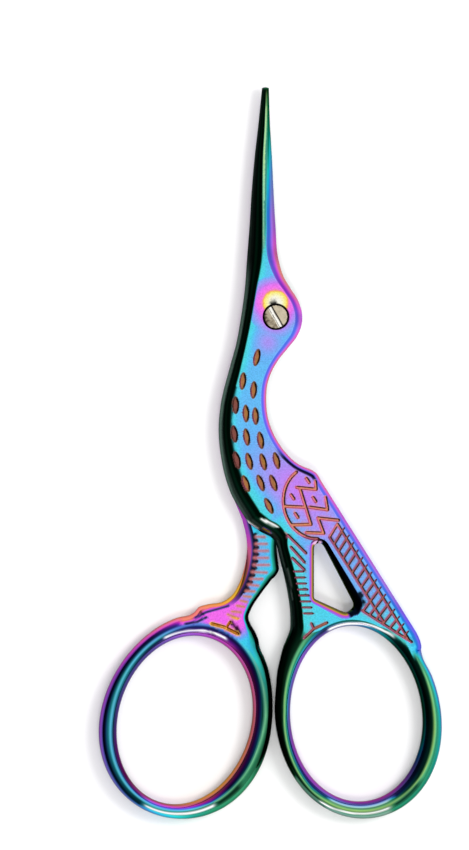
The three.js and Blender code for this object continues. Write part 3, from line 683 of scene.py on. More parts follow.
def rightLegGrooves():
    lines = [[[1.9, -34.3], [4.7, -37.1]], [[2.4, -36.2], [4.45, -38.5]], [[2.6, -37.9], [4.45, -39.7]],
             [[4.5, -50.4], [5.95, -49], [8, -48.05]], [[5.95, -49], [5.6, -48.2]]]
    i = np.arange(legRibs["count"])
    y, x = legRibs["y"] - i * legRibs["down"], legRibs["x"] + i * legRibs["right"]
    ribs = np.c_[x, y, x + legRibs["length"], y, np.full(len(i), legRibs["width"]),
                 np.full(len(i), plumage["deep"])]
    return np.vstack([lineGrooves(line, plumage["fine"]) for line in lines] + [ribs])


def leftLegGrooves():
    # Ribs down the leg, from near the right edge to the left; the lower ones tilt and get shorter.
    ends = np.array([[-3.1, -34.6, -1.8, -34.6], [-3.1, -35.7, -1.5, -35.7], [-3.2, -36.8, -1.3, -36.8],
                     [-3.35, -37.9, -1.3, -37.9], [-3.45, -39, -1.15, -39], [-3.7, -40.1, -1.5, -40.2],
                     [-3.95, -41.2, -2.15, -41.2], [-4.25, -42.1, -2.8, -42.25], [-4.65, -43.1, -3.4, -43.15],
                     [-5, -43.9, -4, -44], [-5.5, -44.6, -4.6, -44.8], [-6.1, -45.4, -5.05, -45.55],
                     [-6.9, -46.3, -5.6, -46.4], [-7.55, -46.75, -6.05, -47.3]])
    ribs = np.c_[ends, np.full(len(ends), plumage["ribWidth"]), np.full(len(ends), plumage["ribDeep"])]
    arrow = np.vstack([lineGrooves([[-10.1, -48.2], [-8.2, -48.7], [-6, -49.8]], 0.55),
                       lineGrooves([[-7.2, -47.9], [-7.7, -48.7]], 0.4)])
    return np.vstack([ribs, arrow])


# Materials

def linear(hexColour):  # a written screen colour as Blender's linear one
    c = np.array([int(hexColour[i:i + 2], 16) for i in (1, 3, 5)]) / 255
    c = np.where(c <= 0.04045, c / 12.92, ((c + 0.055) / 1.055) ** 2.4)
    return (*c.tolist(), 1)


filmColours = [  # the plating's colours in the order in which a film of growing thickness shows them
    [0.0, "#fffdf0"], [0.05, "#fff39a"], [0.09, "#ffe04a"], [0.13, "#fbb456"], [0.17, "#f68f92"],
    [0.22, "#f87bd2"], [0.27, "#f56cf0"], [0.34, "#cb74f6"], [0.42, "#aa8ff8"], [0.5, "#86a2f8"],
    [0.58, "#5fb2fa"], [0.66, "#40d2f2"], [0.72, "#38dad6"], [0.78, "#35b3a2"], [0.85, "#3fb083"],
    [0.91, "#68d294"], [0.96, "#aee07c"], [1.0, "#e6e07a"],
]


def newGroup(name, inputs, outputs):
    group = bpy.data.node_groups.new(name, "ShaderNodeTree")
    for key, kind, value in inputs:
        socket = group.interface.new_socket(key, in_out="INPUT", socket_type=kind)
        socket.default_value = value
    for key, kind in outputs:
        group.interface.new_socket(key, in_out="OUTPUT", socket_type=kind)
    return group, group.nodes.new("NodeGroupInput"), group.nodes.new("NodeGroupOutput")


def feed(tree, pairs):  # sockets and what goes into each: a value or another node's output
    for socket, value in pairs:
        if isinstance(value, bpy.types.NodeSocket):
            tree.links.new(value, socket)
        elif value is not None:
            socket.default_value = value


def setInputs(tree, node, values):
    feed(tree, ((node.inputs[key], value) for key, value in values.items()))


def math(tree, operation, a, b=None, clamp=False):
    node = tree.nodes.new("ShaderNodeMath")
    node.operation, node.use_clamp = operation, clamp
    feed(tree, zip(node.inputs, (a, b)))
    return node.outputs[0]


def mixColour(tree, factor, a, b, mode="MIX"):
    node = tree.nodes.new("ShaderNodeMix")
    node.data_type, node.blend_type = "RGBA", mode
    feed(tree, zip((node.inputs[0], node.inputs[6], node.inputs[7]), (factor, a, b)))
    return node.outputs[2]


def noise(tree, scale, detail=2, roughness=0.5):
    place = tree.nodes.new("ShaderNodeTexCoord")
    node = tree.nodes.new("ShaderNodeTexNoise")
    setInputs(tree, node, {"Scale": scale, "Detail": detail, "Roughness": roughness,
                           "Vector": place.outputs["Object"]})
    return node.outputs["Fac"]


def filmGroup():
    # Colour of the plating: the film's thickness, unevened by soft clouds and a fine mottle, looked up in the
    # row of film colours, deepened by multiplying it with itself, paled towards white and then shaded, with
    # specks in the shade.
    values = [["Film", 0.5], ["Shade", 1.0], ["Pale", 0.0], ["Deep", 0.0], ["Clouds", 0.03], ["Mottle", 0.02],
              ["Specks", 0.0]]
    group, into, out = newGroup("platingFilm", [[key, "NodeSocketFloat", value] for key, value in values],
                                [["Color", "NodeSocketColor"]])

    def uneven(key, scale, detail=2):  # noise about zero, times an input
        return math(group, "MULTIPLY", math(group, "SUBTRACT", noise(group, scale, detail), 0.5),
                    into.outputs[key])

    soft = math(group, "ADD", uneven("Clouds", 260), uneven("Mottle", 2600, 3))
    film = math(group, "ADD", into.outputs["Film"], soft, clamp=True)
    ramp = group.nodes.new("ShaderNodeValToRGB")
    setInputs(group, ramp, {"Fac": film})
    stops = ramp.color_ramp.elements
    for index, (place, colour) in enumerate(filmColours):
        stop = stops[index] if index < 2 else stops.new(place)
        stop.position, stop.color = place, linear(colour)
    colour = ramp.outputs["Color"]
    colour = mixColour(group, into.outputs["Deep"], colour, mixColour(group, 1.0, colour, colour, "MULTIPLY"))
    colour = mixColour(group, into.outputs["Pale"], colour, (1, 1, 1, 1))
    speck = math(group, "ADD", uneven("Specks", 4600), 1.0)
    shade = math(group, "MULTIPLY", into.outputs["Shade"], speck)
    grey = group.nodes.new("ShaderNodeCombineColor")
    setInputs(group, grey, {"Red": shade, "Green": shade, "Blue": shade})
    setInputs(group, out, {"Color": mixColour(group, 1.0, colour, grey.outputs["Color"], "MULTIPLY")})
    return group


def attribute(tree, name):
    node = tree.nodes.new("ShaderNodeAttribute")
    node.attribute_name = name
    return node.outputs["Fac"]


def placed(tree, group, values):
    node = tree.nodes.new("ShaderNodeGroup")
    node.node_tree = group
    setInputs(tree, node, values)
    return node


def newMaterial(name, metallic):
    material = bpy.data.materials.new(name)
    material.use_nodes = True
    shader = material.node_tree.nodes["Principled BSDF"]
    setInputs(material.node_tree, shader, {"Metallic": metallic})
    return material, material.node_tree, shader


def bumpFrom(tree, shader, height, strength, distance):
    node = tree.nodes.new("ShaderNodeBump")
    setInputs(tree, node, {"Strength": strength, "Distance": distance, "Height": height})
    setInputs(tree, shader, {"Normal": node.outputs["Normal"]})


plating = {"satin": 0.32, "polished": 0.1, "cut": 0.45, "grain": 5200, "grazing": 0.4, "specks": 0.7}
filmNodes = filmGroup()


def platingMaterial():
    material, tree, shader = newMaterial("rainbowPlating", 1.0)
    polish, carved = attribute(tree, "polish"), attribute(tree, "carved")
    satin = math(tree, "SUBTRACT", 1.0, polish)
    fields = {key: attribute(tree, key.lower()) for key in ("Film", "Shade", "Pale", "Deep")}
    film = placed(tree, filmNodes, {**fields, "Specks": math(tree, "MULTIPLY", satin, plating["specks"])})
    cut = placed(tree, filmNodes, {"Film": attribute(tree, "cutFilm"), "Shade": attribute(tree, "cutShade"),
                                   "Clouds": 0.03, "Mottle": 0.03, "Specks": plating["specks"]})
    colour = mixColour(tree, carved, film.outputs["Color"], cut.outputs["Color"])
    drop = math(tree, "MULTIPLY", polish, plating["satin"] - plating["polished"])
    rough = math(tree, "SUBTRACT", plating["satin"], drop)
    rough = math(tree, "MAXIMUM", rough, math(tree, "MULTIPLY", carved, plating["cut"]))
    setInputs(tree, shader, {"Base Color": colour, "Roughness": rough,
                             "Specular Tint": (*[plating["grazing"]] * 3, 1)})
    grain = math(tree, "MULTIPLY", noise(tree, plating["grain"], 3, 0.6), satin)
    bumpFrom(tree, shader, grain, 0.35, 0.00002)
    return material


def screwMaterial():
    material, tree, shader = newMaterial("screwSteel", 1.0)
    blotches = tree.nodes.new("ShaderNodeMapRange")
    setInputs(tree, blotches, {"Value": noise(tree, 900, 3, 0.6), "From Min": 0.46, "From Max": 0.62})
    spots = math(tree, "ADD", math(tree, "MULTIPLY", blotches.outputs["Result"], 0.6), 0.4)
    # brown blotches, heavier on the lower left of the head
    blotching = math(tree, "MULTIPLY", spots, attribute(tree, "blotching"))
    colour = mixColour(tree, blotching, linear("#dccfb4"), linear("#5c4c3c"))
    colour = mixColour(tree, attribute(tree, "paintedGleam"), colour, linear("#fffdf6"))
    # painted shade: near black where the bright attribute is low, on the flank and the slot wall
    colour = mixColour(tree, attribute(tree, "bright"), linear("#140c10"), colour)
    setInputs(tree, shader, {"Base Color": colour, "Roughness": 0.24})
    bumpFrom(tree, shader, noise(tree, 3200, 3), 0.2, 0.00002)
    return material


# Colours of each piece from the place and the slope of its surface. Tables give film and shade at a place:
# y in mm along a half. The shade is painted light and shade: black where a surface faces the room's dark
# side or lies in a gap, bright where it faces the light. A bow's lines run round it from the outside to the
# inside, and each has rows of degrees counter-clockwise from the right side, place across the rim from 0
# to 1, film and shade.

frontColours = {
    "ridge": [
        [5, 0.6, 1], [7.5, 0.62, 1], [9, 0.66, 0.95], [11, 0.7, 0.85], [14, 0.76, 0.65], [26, 0.8, 0.65],
        [30, 0.88, 0.8], [33, 0.94, 0.5], [35, 0.96, 0.2], [35.5, 0.96, 0.05],
    ],
    "bevel": [  # from the outside in: shares of the edge over which each band sets in, and its table
        ((0, 0), [
            [-50, 0.45, 0.75], [-38, 0.33, 0.55], [-31, 0.3, 0.55], [-27, 0.2, 0.6], [-10, 0.18, 0.6],
            [-4, 0.22, 0.6], [0, 0.33, 0.65], [3, 0.19, 0.6], [7, 0.16, 0.6], [10, 0.21, 0.48],
            [14, 0.35, 0.42], [18, 0.43, 0.42], [23, 0.55, 0.4], [29, 0.8, 0.3], [35, 0.9, 0.1],
        ]),
        ((0.22, 0.42), [
            [-50, 0.45, 0.8], [-30, 0.4, 0.75], [-10, 0.38, 0.8], [-2, 0.42, 0.8], [3, 0.27, 0.5],
            [6, 0.27, 0.6], [10, 0.36, 0.75], [16, 0.4, 0.7], [20, 0.52, 0.6], [25, 0.66, 0.65],
            [30, 0.8, 0.5], [35, 0.9, 0.2],
        ]),
        ((0.46, 0.68), [
            [-50, 0.6, 0.6], [-42, 0.53, 0.75], [-27, 0.48, 0.8], [-14, 0.48, 0.85], [-2, 0.52, 0.75],
            [2, 0.4, 0.55], [4.5, 0.33, 0.45], [7, 0.42, 0.55], [10.5, 0.5, 0.55], [17, 0.6, 0.55],
            [23, 0.72, 0.75], [30, 0.84, 0.55], [34.5, 0.9, 0.3], [35.5, 0.9, 0.05],
        ]),
    ],
    # painted reflection: shade of the rolled left edge's grey-green strip, which reflects the floor
    "strip": [
        [-50, 0.1], [-38, 0.1], [-33, 0.05], [-30, 0.14], [-22, 0.2], [-14, 0.2], [-6, 0.16], [0, 0.15],
        [6, 0.1], [9, 0.03], [20, 0.03], [36, 0.06],
    ],
    # painted highlight: film of the rings about a bright spot above the screw, by distance from it
    "glare": [
        [0, 0.0], [0.9, 0.01], [1.3, 0.045], [1.6, 0.065], [1.85, 0.085], [1.97, 0.15], [2.1, 0.22],
        [2.3, 0.262], [2.8, 0.28], [3.2, 0.35], [3.6, 0.43], [4.2, 0.53], [4.7, 1],
    ],
    "ring": [
        [0, 0.29], [2.2, 0.3], [2.5, 0.35], [3, 0.42], [3.5, 0.49], [4.2, 0.57], [4.6, 1],
    ],
}
# The bows' lines are painted reflections: black where a rim faces the room's dark side or the other bow,
# bright along the crest.
bowColours = {
    "right": {
        "rim": [
            [0, 0, 0.5, 0.5], [30, 0, 0.42, 0.7], [45, 0, 0.5, 0.7], [125, 0, 0.85, 0.03],
            [215, 0, 0.85, 0.04], [235, 0, 0.9, 0.15], [255, 0, 0.8, 0.35], [270, 0, 0.83, 0.5],
            [295, 0, 0.84, 0.6], [315, 0, 0.78, 0.6], [345, 0, 0.55, 0.5],
        ],
        "band": [
            [0, 0.12, 0.72, 0.55], [30, 0.12, 0.62, 0.7], [125, 0.2, 0.85, 0.03], [228, 0.15, 0.85, 0.03],
            [246, 0.12, 0.8, 0.3], [260, 0.15, 0.8, 0.6], [290, 0.2, 0.84, 0.6], [315, 0.15, 0.84, 0.6],
            [345, 0.12, 0.75, 0.55],
        ],
        "beforeCrest": [
            [0, 0.25, 0.84, 0.8], [30, 0.22, 0.8, 0.8], [48, 0.3, 0.75, 0.9], [60, 0.4, 0.72, 0.9],
            [128, 0.45, 0.9, 0.04], [180, 0.53, 0.9, 0.03], [225, 0.33, 0.9, 0.04], [243, 0.3, 0.9, 0.04],
            [250, 0.4, 0.95, 0.4], [290, 0.42, 0.95, 0.4], [293, 0.34, 0.85, 0.05], [308, 0.35, 0.85, 0.08],
            [315, 0.28, 0.86, 0.8],
        ],
        "crest": [
            [0, 0.36, 0.95, 0.95], [30, 0.34, 0.93, 0.95], [48, 0.34, 0.85, 0.9], [60, 0.5, 0.72, 0.9],
            [110, 0.6, 0.72, 0.9], [128, 0.56, 0.9, 0.9], [150, 0.61, 0.95, 0.9], [180, 0.63, 0.955, 0.9],
            [210, 0.52, 0.95, 0.85], [240, 0.41, 0.95, 0.85], [270, 0.5, 0.96, 0.9], [300, 0.48, 0.96, 0.6],
            [330, 0.36, 0.96, 0.9],
        ],
        "afterCrest": [
            [0, 0.46, 0.95, 0.1], [30, 0.45, 0.9, 0.05], [48, 0.4, 0.8, 0.1], [62, 0.58, 0.75, 0.15],
            [95, 0.76, 0.75, 0.15], [112, 0.68, 0.75, 0.2], [128, 0.68, 0.85, 0.7], [180, 0.73, 0.86, 0.75],
            [210, 0.62, 0.84, 0.55], [240, 0.51, 0.8, 0.6], [252, 0.6, 0.9, 0.5], [290, 0.6, 0.9, 0.4],
            [300, 0.56, 0.9, 0.06], [315, 0.48, 0.93, 0.05],
        ],
        "hollow": [
            [0, 0.55, 0.8, 0.02], [48, 0.5, 0.8, 0.02], [70, 0.75, 0.75, 0.1], [95, 0.95, 0.6, 0.4],
            [112, 0.8, 0.5, 0.1], [128, 0.78, 0.6, 0.5], [180, 0.82, 0.6, 0.4], [210, 0.72, 0.5, 0.15],
            [240, 0.64, 0.5, 0.04], [250, 0.66, 0.6, 0.06], [254, 0.68, 0.66, 1], [291, 0.7, 0.66, 0.95],
            [295, 0.65, 0.55, 0.08], [315, 0.6, 0.7, 0.02],
        ],
        "inner": [
            [0, 0.76, 0.8, 0.03], [60, 0.78, 0.78, 0.05], [95, 0.97, 0.55, 0.6], [115, 0.88, 0.45, 0.12],
            [135, 0.87, 0.38, 0.5], [180, 0.9, 0.47, 0.35], [210, 0.82, 0.36, 0.4], [240, 0.78, 0.36, 0.4],
            [252, 0.8, 0.5, 0.5], [270, 0.85, 0.42, 0.2], [292, 0.83, 0.4, 0.15], [315, 0.8, 0.5, 0.06],
        ],
        "edge": [
            [0, 1, 0.82, 0.08], [60, 1, 0.8, 0.1], [85, 1, 0.5, 0.7], [110, 1, 0.36, 0.75],
            [135, 1, 0.36, 0.7], [180, 1, 0.38, 0.5], [210, 1, 0.28, 0.55], [240, 1, 0.28, 0.6],
            [270, 1, 0.2, 0.55], [295, 1, 0.22, 0.35], [315, 1, 0.4, 0.15], [335, 1, 0.8, 0.08],
        ],
    },
    "left": {
        "rim": [
            [0, 0, 0.87, 0.03], [40, 0, 0.8, 0.3], [80, 0, 0.12, 0.9], [105, 0, 0.15, 0.85],
            [130, 0, 0.22, 0.65], [160, 0, 0.3, 0.5], [200, 0, 0.35, 0.5], [235, 0, 0.47, 0.55],
            [262, 0, 0.69, 0.9], [280, 0, 0.82, 0.7], [305, 0, 0.88, 0.5], [322, 0, 0.88, 0.4],
            [335, 0, 0.87, 0.04],
        ],
        "rimEnd": [
            [0, 0.12, 0.87, 0.03], [40, 0.1, 0.75, 0.6], [85, 0.14, 0.22, 0.9], [110, 0.15, 0.22, 0.65],
            [150, 0.1, 0.32, 0.5], [190, 0.13, 0.36, 0.5], [235, 0.1, 0.49, 0.6], [262, 0.22, 0.7, 1],
            [285, 0.2, 0.86, 0.7], [315, 0.15, 0.87, 0.55], [335, 0.12, 0.87, 0.05],
        ],
        "dark": [
            [0, 0.16, 0.87, 0.04], [40, 0.2, 0.7, 0.85], [85, 0.3, 0.33, 0.6], [115, 0.26, 0.36, 0.08],
            [190, 0.26, 0.45, 0.06], [241, 0.19, 0.6, 0.03], [248, 0.28, 0.7, 0.9], [286, 0.28, 0.8, 0.8],
            [290, 0.3, 0.86, 0.04], [305, 0.28, 0.87, 0.04], [310, 0.2, 0.87, 0.45], [335, 0.22, 0.87, 0.08],
        ],
        "beforeCrest": [
            [0, 0.22, 0.87, 0.35], [40, 0.3, 0.72, 0.9], [95, 0.38, 0.45, 0.1], [115, 0.4, 0.6, 0.05],
            [150, 0.45, 0.72, 0.12], [190, 0.54, 0.7, 0.22], [241, 0.5, 0.7, 0.06], [248, 0.5, 0.75, 0.55],
            [286, 0.5, 0.78, 0.5], [290, 0.41, 0.86, 0.1], [305, 0.42, 0.87, 0.1], [312, 0.38, 0.86, 0.5],
            [335, 0.32, 0.86, 0.45],
        ],
        "crest": [
            [0, 0.35, 0.9, 1], [35, 0.36, 0.8, 0.95], [60, 0.42, 0.66, 0.9], [90, 0.47, 0.56, 0.8],
            [110, 0.52, 0.63, 0.85], [150, 0.58, 0.68, 0.85], [180, 0.66, 0.66, 0.85], [225, 0.63, 0.67, 0.9],
            [250, 0.66, 0.62, 0.95], [270, 0.6, 0.62, 0.95], [288, 0.49, 0.9, 0.95], [310, 0.48, 0.9, 0.95],
            [340, 0.44, 0.9, 0.95],
        ],
        "afterCrest": [
            [0, 0.5, 0.8, 0.05], [35, 0.48, 0.7, 0.04], [60, 0.52, 0.55, 0.1], [90, 0.58, 0.5, 0.1],
            [110, 0.65, 0.7, 0.04], [135, 0.68, 0.7, 0.15], [155, 0.71, 0.7, 0.25], [185, 0.78, 0.66, 0.2],
            [225, 0.73, 0.6, 0.4], [240, 0.7, 0.6, 0.8], [270, 0.7, 0.42, 0.95], [285, 0.6, 0.45, 0.3],
            [300, 0.56, 0.7, 0.03], [345, 0.53, 0.7, 0.05],
        ],
        "hollow": [
            [0, 0.62, 0.5, 0.12], [35, 0.6, 0.4, 0.04], [62, 0.6, 0.4, 0.05], [90, 0.65, 0.42, 0.15],
            [120, 0.75, 0.5, 0.07], [150, 0.8, 0.55, 0.2], [185, 0.85, 0.5, 0.08], [225, 0.82, 0.3, 0.06],
            [238, 0.78, 0.35, 0.1], [246, 0.8, 0.4, 0.8], [270, 0.78, 0.22, 0.65], [285, 0.68, 0.24, 0.4],
            [300, 0.68, 0.3, 0.03], [345, 0.64, 0.48, 0.14],
        ],
        "inner": [
            [0, 0.8, 0.195, 0.4], [35, 0.76, 0.22, 0.4], [62, 0.8, 0.28, 0.4], [90, 0.86, 0.36, 0.7],
            [120, 0.85, 0.43, 0.3], [185, 0.9, 0.42, 0.15], [225, 0.9, 0.24, 0.1], [250, 0.91, 0.22, 0.55],
            [270, 0.87, 0.17, 0.5], [290, 0.8, 0.17, 0.4], [345, 0.8, 0.19, 0.4],
        ],
        "edge": [
            [0, 1, 0.165, 0.45], [35, 1, 0.19, 0.5], [62, 1, 0.24, 0.6], [90, 1, 0.37, 0.7],
            [120, 1, 0.42, 0.4], [185, 1, 0.4, 0.4], [225, 1, 0.2, 0.2], [250, 1, 0.16, 0.4],
            [272, 1, 0.11, 0.85], [300, 1, 0.115, 0.6], [345, 1, 0.15, 0.45],
        ],
    },
}
# painted highlights: white and pale streaks along the bows
highlightStreaks = {  # long gleams on the bows: degrees and place across the rim along each, half width and paleness
    "right": [
        ([[246, 0.2], [255, 0.26], [270, 0.33], [290, 0.33]], 0.07, 1),
        ([[62, 0.61], [75, 0.75], [92, 0.88], [111, 0.9]], 0.07, 1),
        ([[252, 0.66], [270, 0.68], [291, 0.68]], 0.07, 0.4),
        ([[250, 0.05], [272, 0.1], [290, 0.1]], 0.1, 0.3),
        ([[226, 0.1], [240, 0.14], [254, 0.2]], 0.1, 0.18),
    ],
    "left": [
        ([[243, 0.37], [265, 0.39], [288, 0.36]], 0.08, 1),
        ([[62, 0.7], [85, 0.74], [108, 0.7]], 0.06, 1),
    ],
}
# painted sheen: paleness of each bow's crest line
crestSheen = {"right": 0.08, "left": 0.12}
cutColours = {"dimple": (0.14, 0.4), "wing": (0.155, 0.72), "line": (0.165, 0.42)}  # film and shade
black = 0.012  # shade of the darkest places


def read(table, place, period=None):  # the further columns of a table at places of its first column
    t = np.array(table, float)
    return np.stack([np.interp(place, t[:, 0], t[:, k], period=period) for k in range(1, t.shape[1])])


def blend(share, a, b):
    return a + (b - a) * share


def banded(bands, share, y):  # colours of bands side by side across an edge
    colours = read(bands[0][1], y)
    for setIn, table in bands[1:]:
        colours = blend(smoothstep(*setIn, share), colours, read(table, y))
    return colours


def bell(x, y, centre, radius):  # 1 at a place, falling off like a bell all round
    return np.exp(-((x - centre[0]) ** 2 + (y - centre[1]) ** 2) / radius ** 2)


def patched(film, x, y, patches):  # film changed about some places: x, y, radius and change
    for centreX, centreY, radius, change in patches:
        film = film + change * bell(x, y, (centreX, centreY), radius)
    return film


def nearLine(f, line, half, soft):  # 1 within half a width of a line of straight spans, else 0
    p = np.array(line, float)
    far = np.minimum.reduce([fromSpan(f["xyz"][:, :2], a, b) for a, b in zip(p, p[1:])])
    return 1 - smoothstep(half, half + soft, far)


def bowPlace(f, bow):
    # Degrees round the bow's centre, and the place across the rim: 0 on the outer oval, 1 on the opening.
    centre = np.array([bow["x"], (bow["top"] + bows["end"]) / 2])
    dx, dy = f["xyz"][:, 0] - centre[0], f["xyz"][:, 1] - centre[1]
    around = np.degrees(np.arctan2(dy, dx)) % 360
    radii = []
    for opening in (False, True):
        oval = ovalPoints(bow, np.arange(0, 360, 2), opening) - centre
        angle = np.degrees(np.arctan2(oval[:, 1], oval[:, 0])) % 360
        order = np.argsort(angle)
        radii.append(np.interp(around, angle[order], np.hypot(*oval[order].T), period=360))
    return around, (radii[0] - np.hypot(dx, dy)) / (radii[0] - radii[1])


def rimColours(around, place, side):
    # Film, shade and paleness across a bow's rim: straight blends from each line to the next one, and the
    # painted highlights over them.
    lines = [np.vstack([read(table, around, 360), np.full(len(around), crestSheen[side] * (key == "crest"))])
             for key, table in bowColours[side].items()]
    colours = lines[0][1:]
    for low, high in zip(lines, lines[1:]):
        share = np.clip((place - low[0]) / np.maximum(high[0] - low[0], 0.01), 0, 1)
        colours = blend(share, colours, high[1:])
    film, shade, pale = colours
    for line, half, strength in highlightStreaks[side]:
        length = smoothstep(line[0][0] - 1, line[0][0] + 3, around)
        length = length * (1 - smoothstep(line[-1][0] - 3, line[-1][0] + 1, around))
        glow = length * (1 - smoothstep(half * 0.5, half * 1.3, np.abs(place - read(line, around)[0])))
        pale, shade = np.maximum(pale, strength * glow), np.maximum(shade, glow * min(1, 2.2 * strength))
    return np.stack([film, shade, pale])


def rimDepth(place, film):  # the rims' colours are deep in the middle, less so at both sides and for greens
    sides = np.maximum(smoothstep(0.3, 0.1, place), smoothstep(0.7, 0.85, place))
    return (1 - 0.7 * smoothstep(0.5, 0.66, film)) * (1 - 0.75 * sides)


def cutFields(f, wing):
    # Film and shade of what is carved: dimples, the wing's lines and the finer lines. Walls that face left
    # get painted shade, black; walls that face right are painted paler and pinker, as lit; and a dimple has
    # painted shade round its rim.
    dimple = f["dimple"] > 0.05
    film, shade = (np.where(dimple, cutColours["dimple"][k],
                            np.where(wing, cutColours["wing"][k], cutColours["line"][k])) for k in (0, 1))
    rim = dimple * (1 - smoothstep(0.15, 0.6, f["depth"] * plumage["deep"] / plumage["featherDeep"]))
    lit = smoothstep(0.15, 0.6, -f["wall"])
    shade = shade * (1.15 - 0.75 * rim) * (1 + 0.3 * lit) * (1 - smoothstep(0.08, 0.5, f["wall"]))
    return film + 0.05 * lit, np.clip(shade, black, 1)


def dyed(f, colours, deep, polish, cutFilm, cutShade):
    return {"film": colours[0], "shade": colours[1], "pale": colours[2], "deep": deep, "polish": polish,
            "carved": f["carved"], "cutFilm": cutFilm, "cutShade": cutShade}


def plain(film, shade, pale=0.0):  # film, shade and paleness as rows
    return np.stack(np.broadcast_arrays(film, shade, pale)).astype(float)


# Places on the front half. A mark is a line of points with half its width and how softly it ends.

frontMarks = {
    "patches": [[1, -24.5, 5, -0.16], [5.6, -29.6, 5.8, -0.2], [-1.24, -4, 1.8, -0.17],
                [7.8, -33.6, 1.6, -0.08]],                          # x, y, radius and change of film
    "darkSpots": [[-0.36, 2.05], [13.25, -43.7], [13.65, -44.9]],   # by the screw and the window
    "edgeBites": [[-6.3, -14], [-6.6, -18.4], [-6.1, -22.5]],       # where dimples widen the dark edge
    "glareCentre": (-0.06, 2.2),
    "cyanReach": [[-36, 1.6], [-30, 2.4], [-22, 0.9], [0, 0.8]],    # y, and how far the left cyan goes
    "hem": {"x": 13.75, "y": -46.25, "slope": -0.653},              # under the tail
    "creaseShade": (-20.3, -22.3, -25.3, -26.0),                         # y where it sets in and ends
    # painted highlights: white gleams on the belly, the right leg and the seam of the halves, and a gold
    # glint
    "gleam": ([[-2.25, -31.75], [0.25, -33.0]], 0.14, 0.14),
    "thinGleam": ([[1.85, -39.6], [2.35, -42], [2.6, -44.5]], 0.05, 0.1),
    "goldGlint": ([[-2.1, -33.2], [-0.8, -33.95]], 0.02, 0.16),
    "seamGleam": ([[-4.85, -32.3], [-3.1, -33.5]], 0.3, 0.3),
}
# Painted light and shade on the window's edge: lit on the left and lower sides, in shadow on the right, with
# a pale highlight along the top.
windowBands = {  # across each side of the window's edge: share of it and film, share of it and shade
    "lit": ([[0, 0.06], [0.3, 0.06], [0.42, 0.12], [0.5, 0.2], [0.6, 0.3], [0.8, 0.42], [1, 0.48]],
            [[0, 0.15], [0.28, 0.12], [0.4, 0.7], [0.5, 0.65], [0.6, 0.7], [0.8, 0.95], [1, 1]]),
    "shadow": ([[0, 0.97], [0.18, 0.97], [0.25, 0.55], [1, 0.5]],
               [[0, 0.12], [0.12, 0.1], [0.25, black], [0.8, black], [0.95, 0.12], [1, 0.5]]),
    "top": ([[0, 0.2], [0.4, 0.24], [1, 0.4]],
            [[0, 0.95], [0.6, 0.95], [0.72, 0.05], [0.9, 0.05], [1, 0.6]]),
}


def frontGround(f, leftward):
    # The flats: the ridge's colours along the half, lilac and pink patches, cyan beside the left edge and
    # below the tail's hem, rings of colour about the screw and about a painted highlight above it, the
    # blade's mint line, a painted highlight beside the dark edge, and that edge's painted dark reflection
    # widened about the dimples.
    x, y, beyond = f["xyz"][:, 0], f["xyz"][:, 1], f["beyond"]
    film, shade = read(frontColours["ridge"], y)
    film = patched(film, x, y, frontMarks["patches"])
    hem = frontMarks["hem"]
    aboveHem = smoothstep(-0.6, 0, y - hem["y"] - (x - hem["x"]) * hem["slope"])
    tail = smoothstep(6.2, 9, x) * smoothstep(-30, -34, y) * aboveHem
    film = film + 0.07 * smoothstep(-33, -38, y) * (1 - tail)
    film = film + tail * (0.1 * smoothstep(-43, -49, y) - 0.03)
    film = film - 0.12 * bump(x, 5.1, 0.6) * (y < -36) * (y > -45)  # left of the window
    cyan = leftward * np.exp(-(beyond / read(frontMarks["cyanReach"], y)[0]) ** 2) * smoothstep(12, 8, y)
    film = film + np.maximum(0.695 - film, 0) * cyan
    # painted highlight: white, yellow and pink rings about a bright spot above the screw
    glareX, glareY = frontMarks["glareCentre"]
    film = np.minimum(film, read(frontColours["glare"], np.hypot(x - glareX, y - glareY))[0])
    ring = np.hypot(x, y) + 0.75 * smoothstep(0.4, -1.8, y)
    film = np.minimum(film, read(frontColours["ring"], ring)[0])
    # painted highlight: a mint line along the blade's ridge, beside the dark edge
    line = leftward * (1 - smoothstep(0.26, 0.4, beyond)) * smoothstep(9, 13, y) * smoothstep(34, 32, y)
    film = film + (0.9 + 0.05 * smoothstep(17, 25, y) - film) * line
    # painted dark reflection: the left edge's black widened about the dimples beside it
    wide = 0.42 * sum(bell(x, y, centre, 1.15) for centre in frontMarks["edgeBites"])
    bitten = leftward * (1 - smoothstep(0.02 + wide, 0.28 + wide, beyond)) * (y < -11) * (y > -26)
    return plain(film, blend(line, shade, 1) * (1 - 0.88 * bitten), 0.04 + 0.16 * line)


def frontBand(f, ground):
    # The rolled left edge, painted as reflections: a grey-green strip outside that reflects the floor, then
    # black for the room's dark side with a faint olive line, and painted highlights: white gleams and a gold
    # glint.
    x, y, share = f["xyz"][:, 0], f["xyz"][:, 1], f["share"]
    onStrip = 1 - smoothstep(0.34, 0.44, share)
    shade = blend(onStrip, black + 0.1 * bump(share, 0.58, 0.05), read(frontColours["strip"], y)[0])
    band = plain(0.83, shade, 0.35 * onStrip)
    # painted highlights: white gleams and a gold glint on the dark edge
    gleam, thinGleam, goldGlint, seamGleam = (nearLine(f, *frontMarks[key]) for key in ("gleam", "thinGleam", "goldGlint", "seamGleam"))
    band = np.where(goldGlint > 0, plain(0.1, blend(goldGlint, band[1], 0.5)), band)
    paintedGleam = np.maximum.reduce([gleam, 0.5 * thinGleam, seamGleam * (1 - smoothstep(0.06, 0.2, share))])
    band = blend(paintedGleam, band, plain(band[0], 1, np.ones(len(x))))
    return blend(smoothstep(0.9, 1, share), band, ground), onStrip


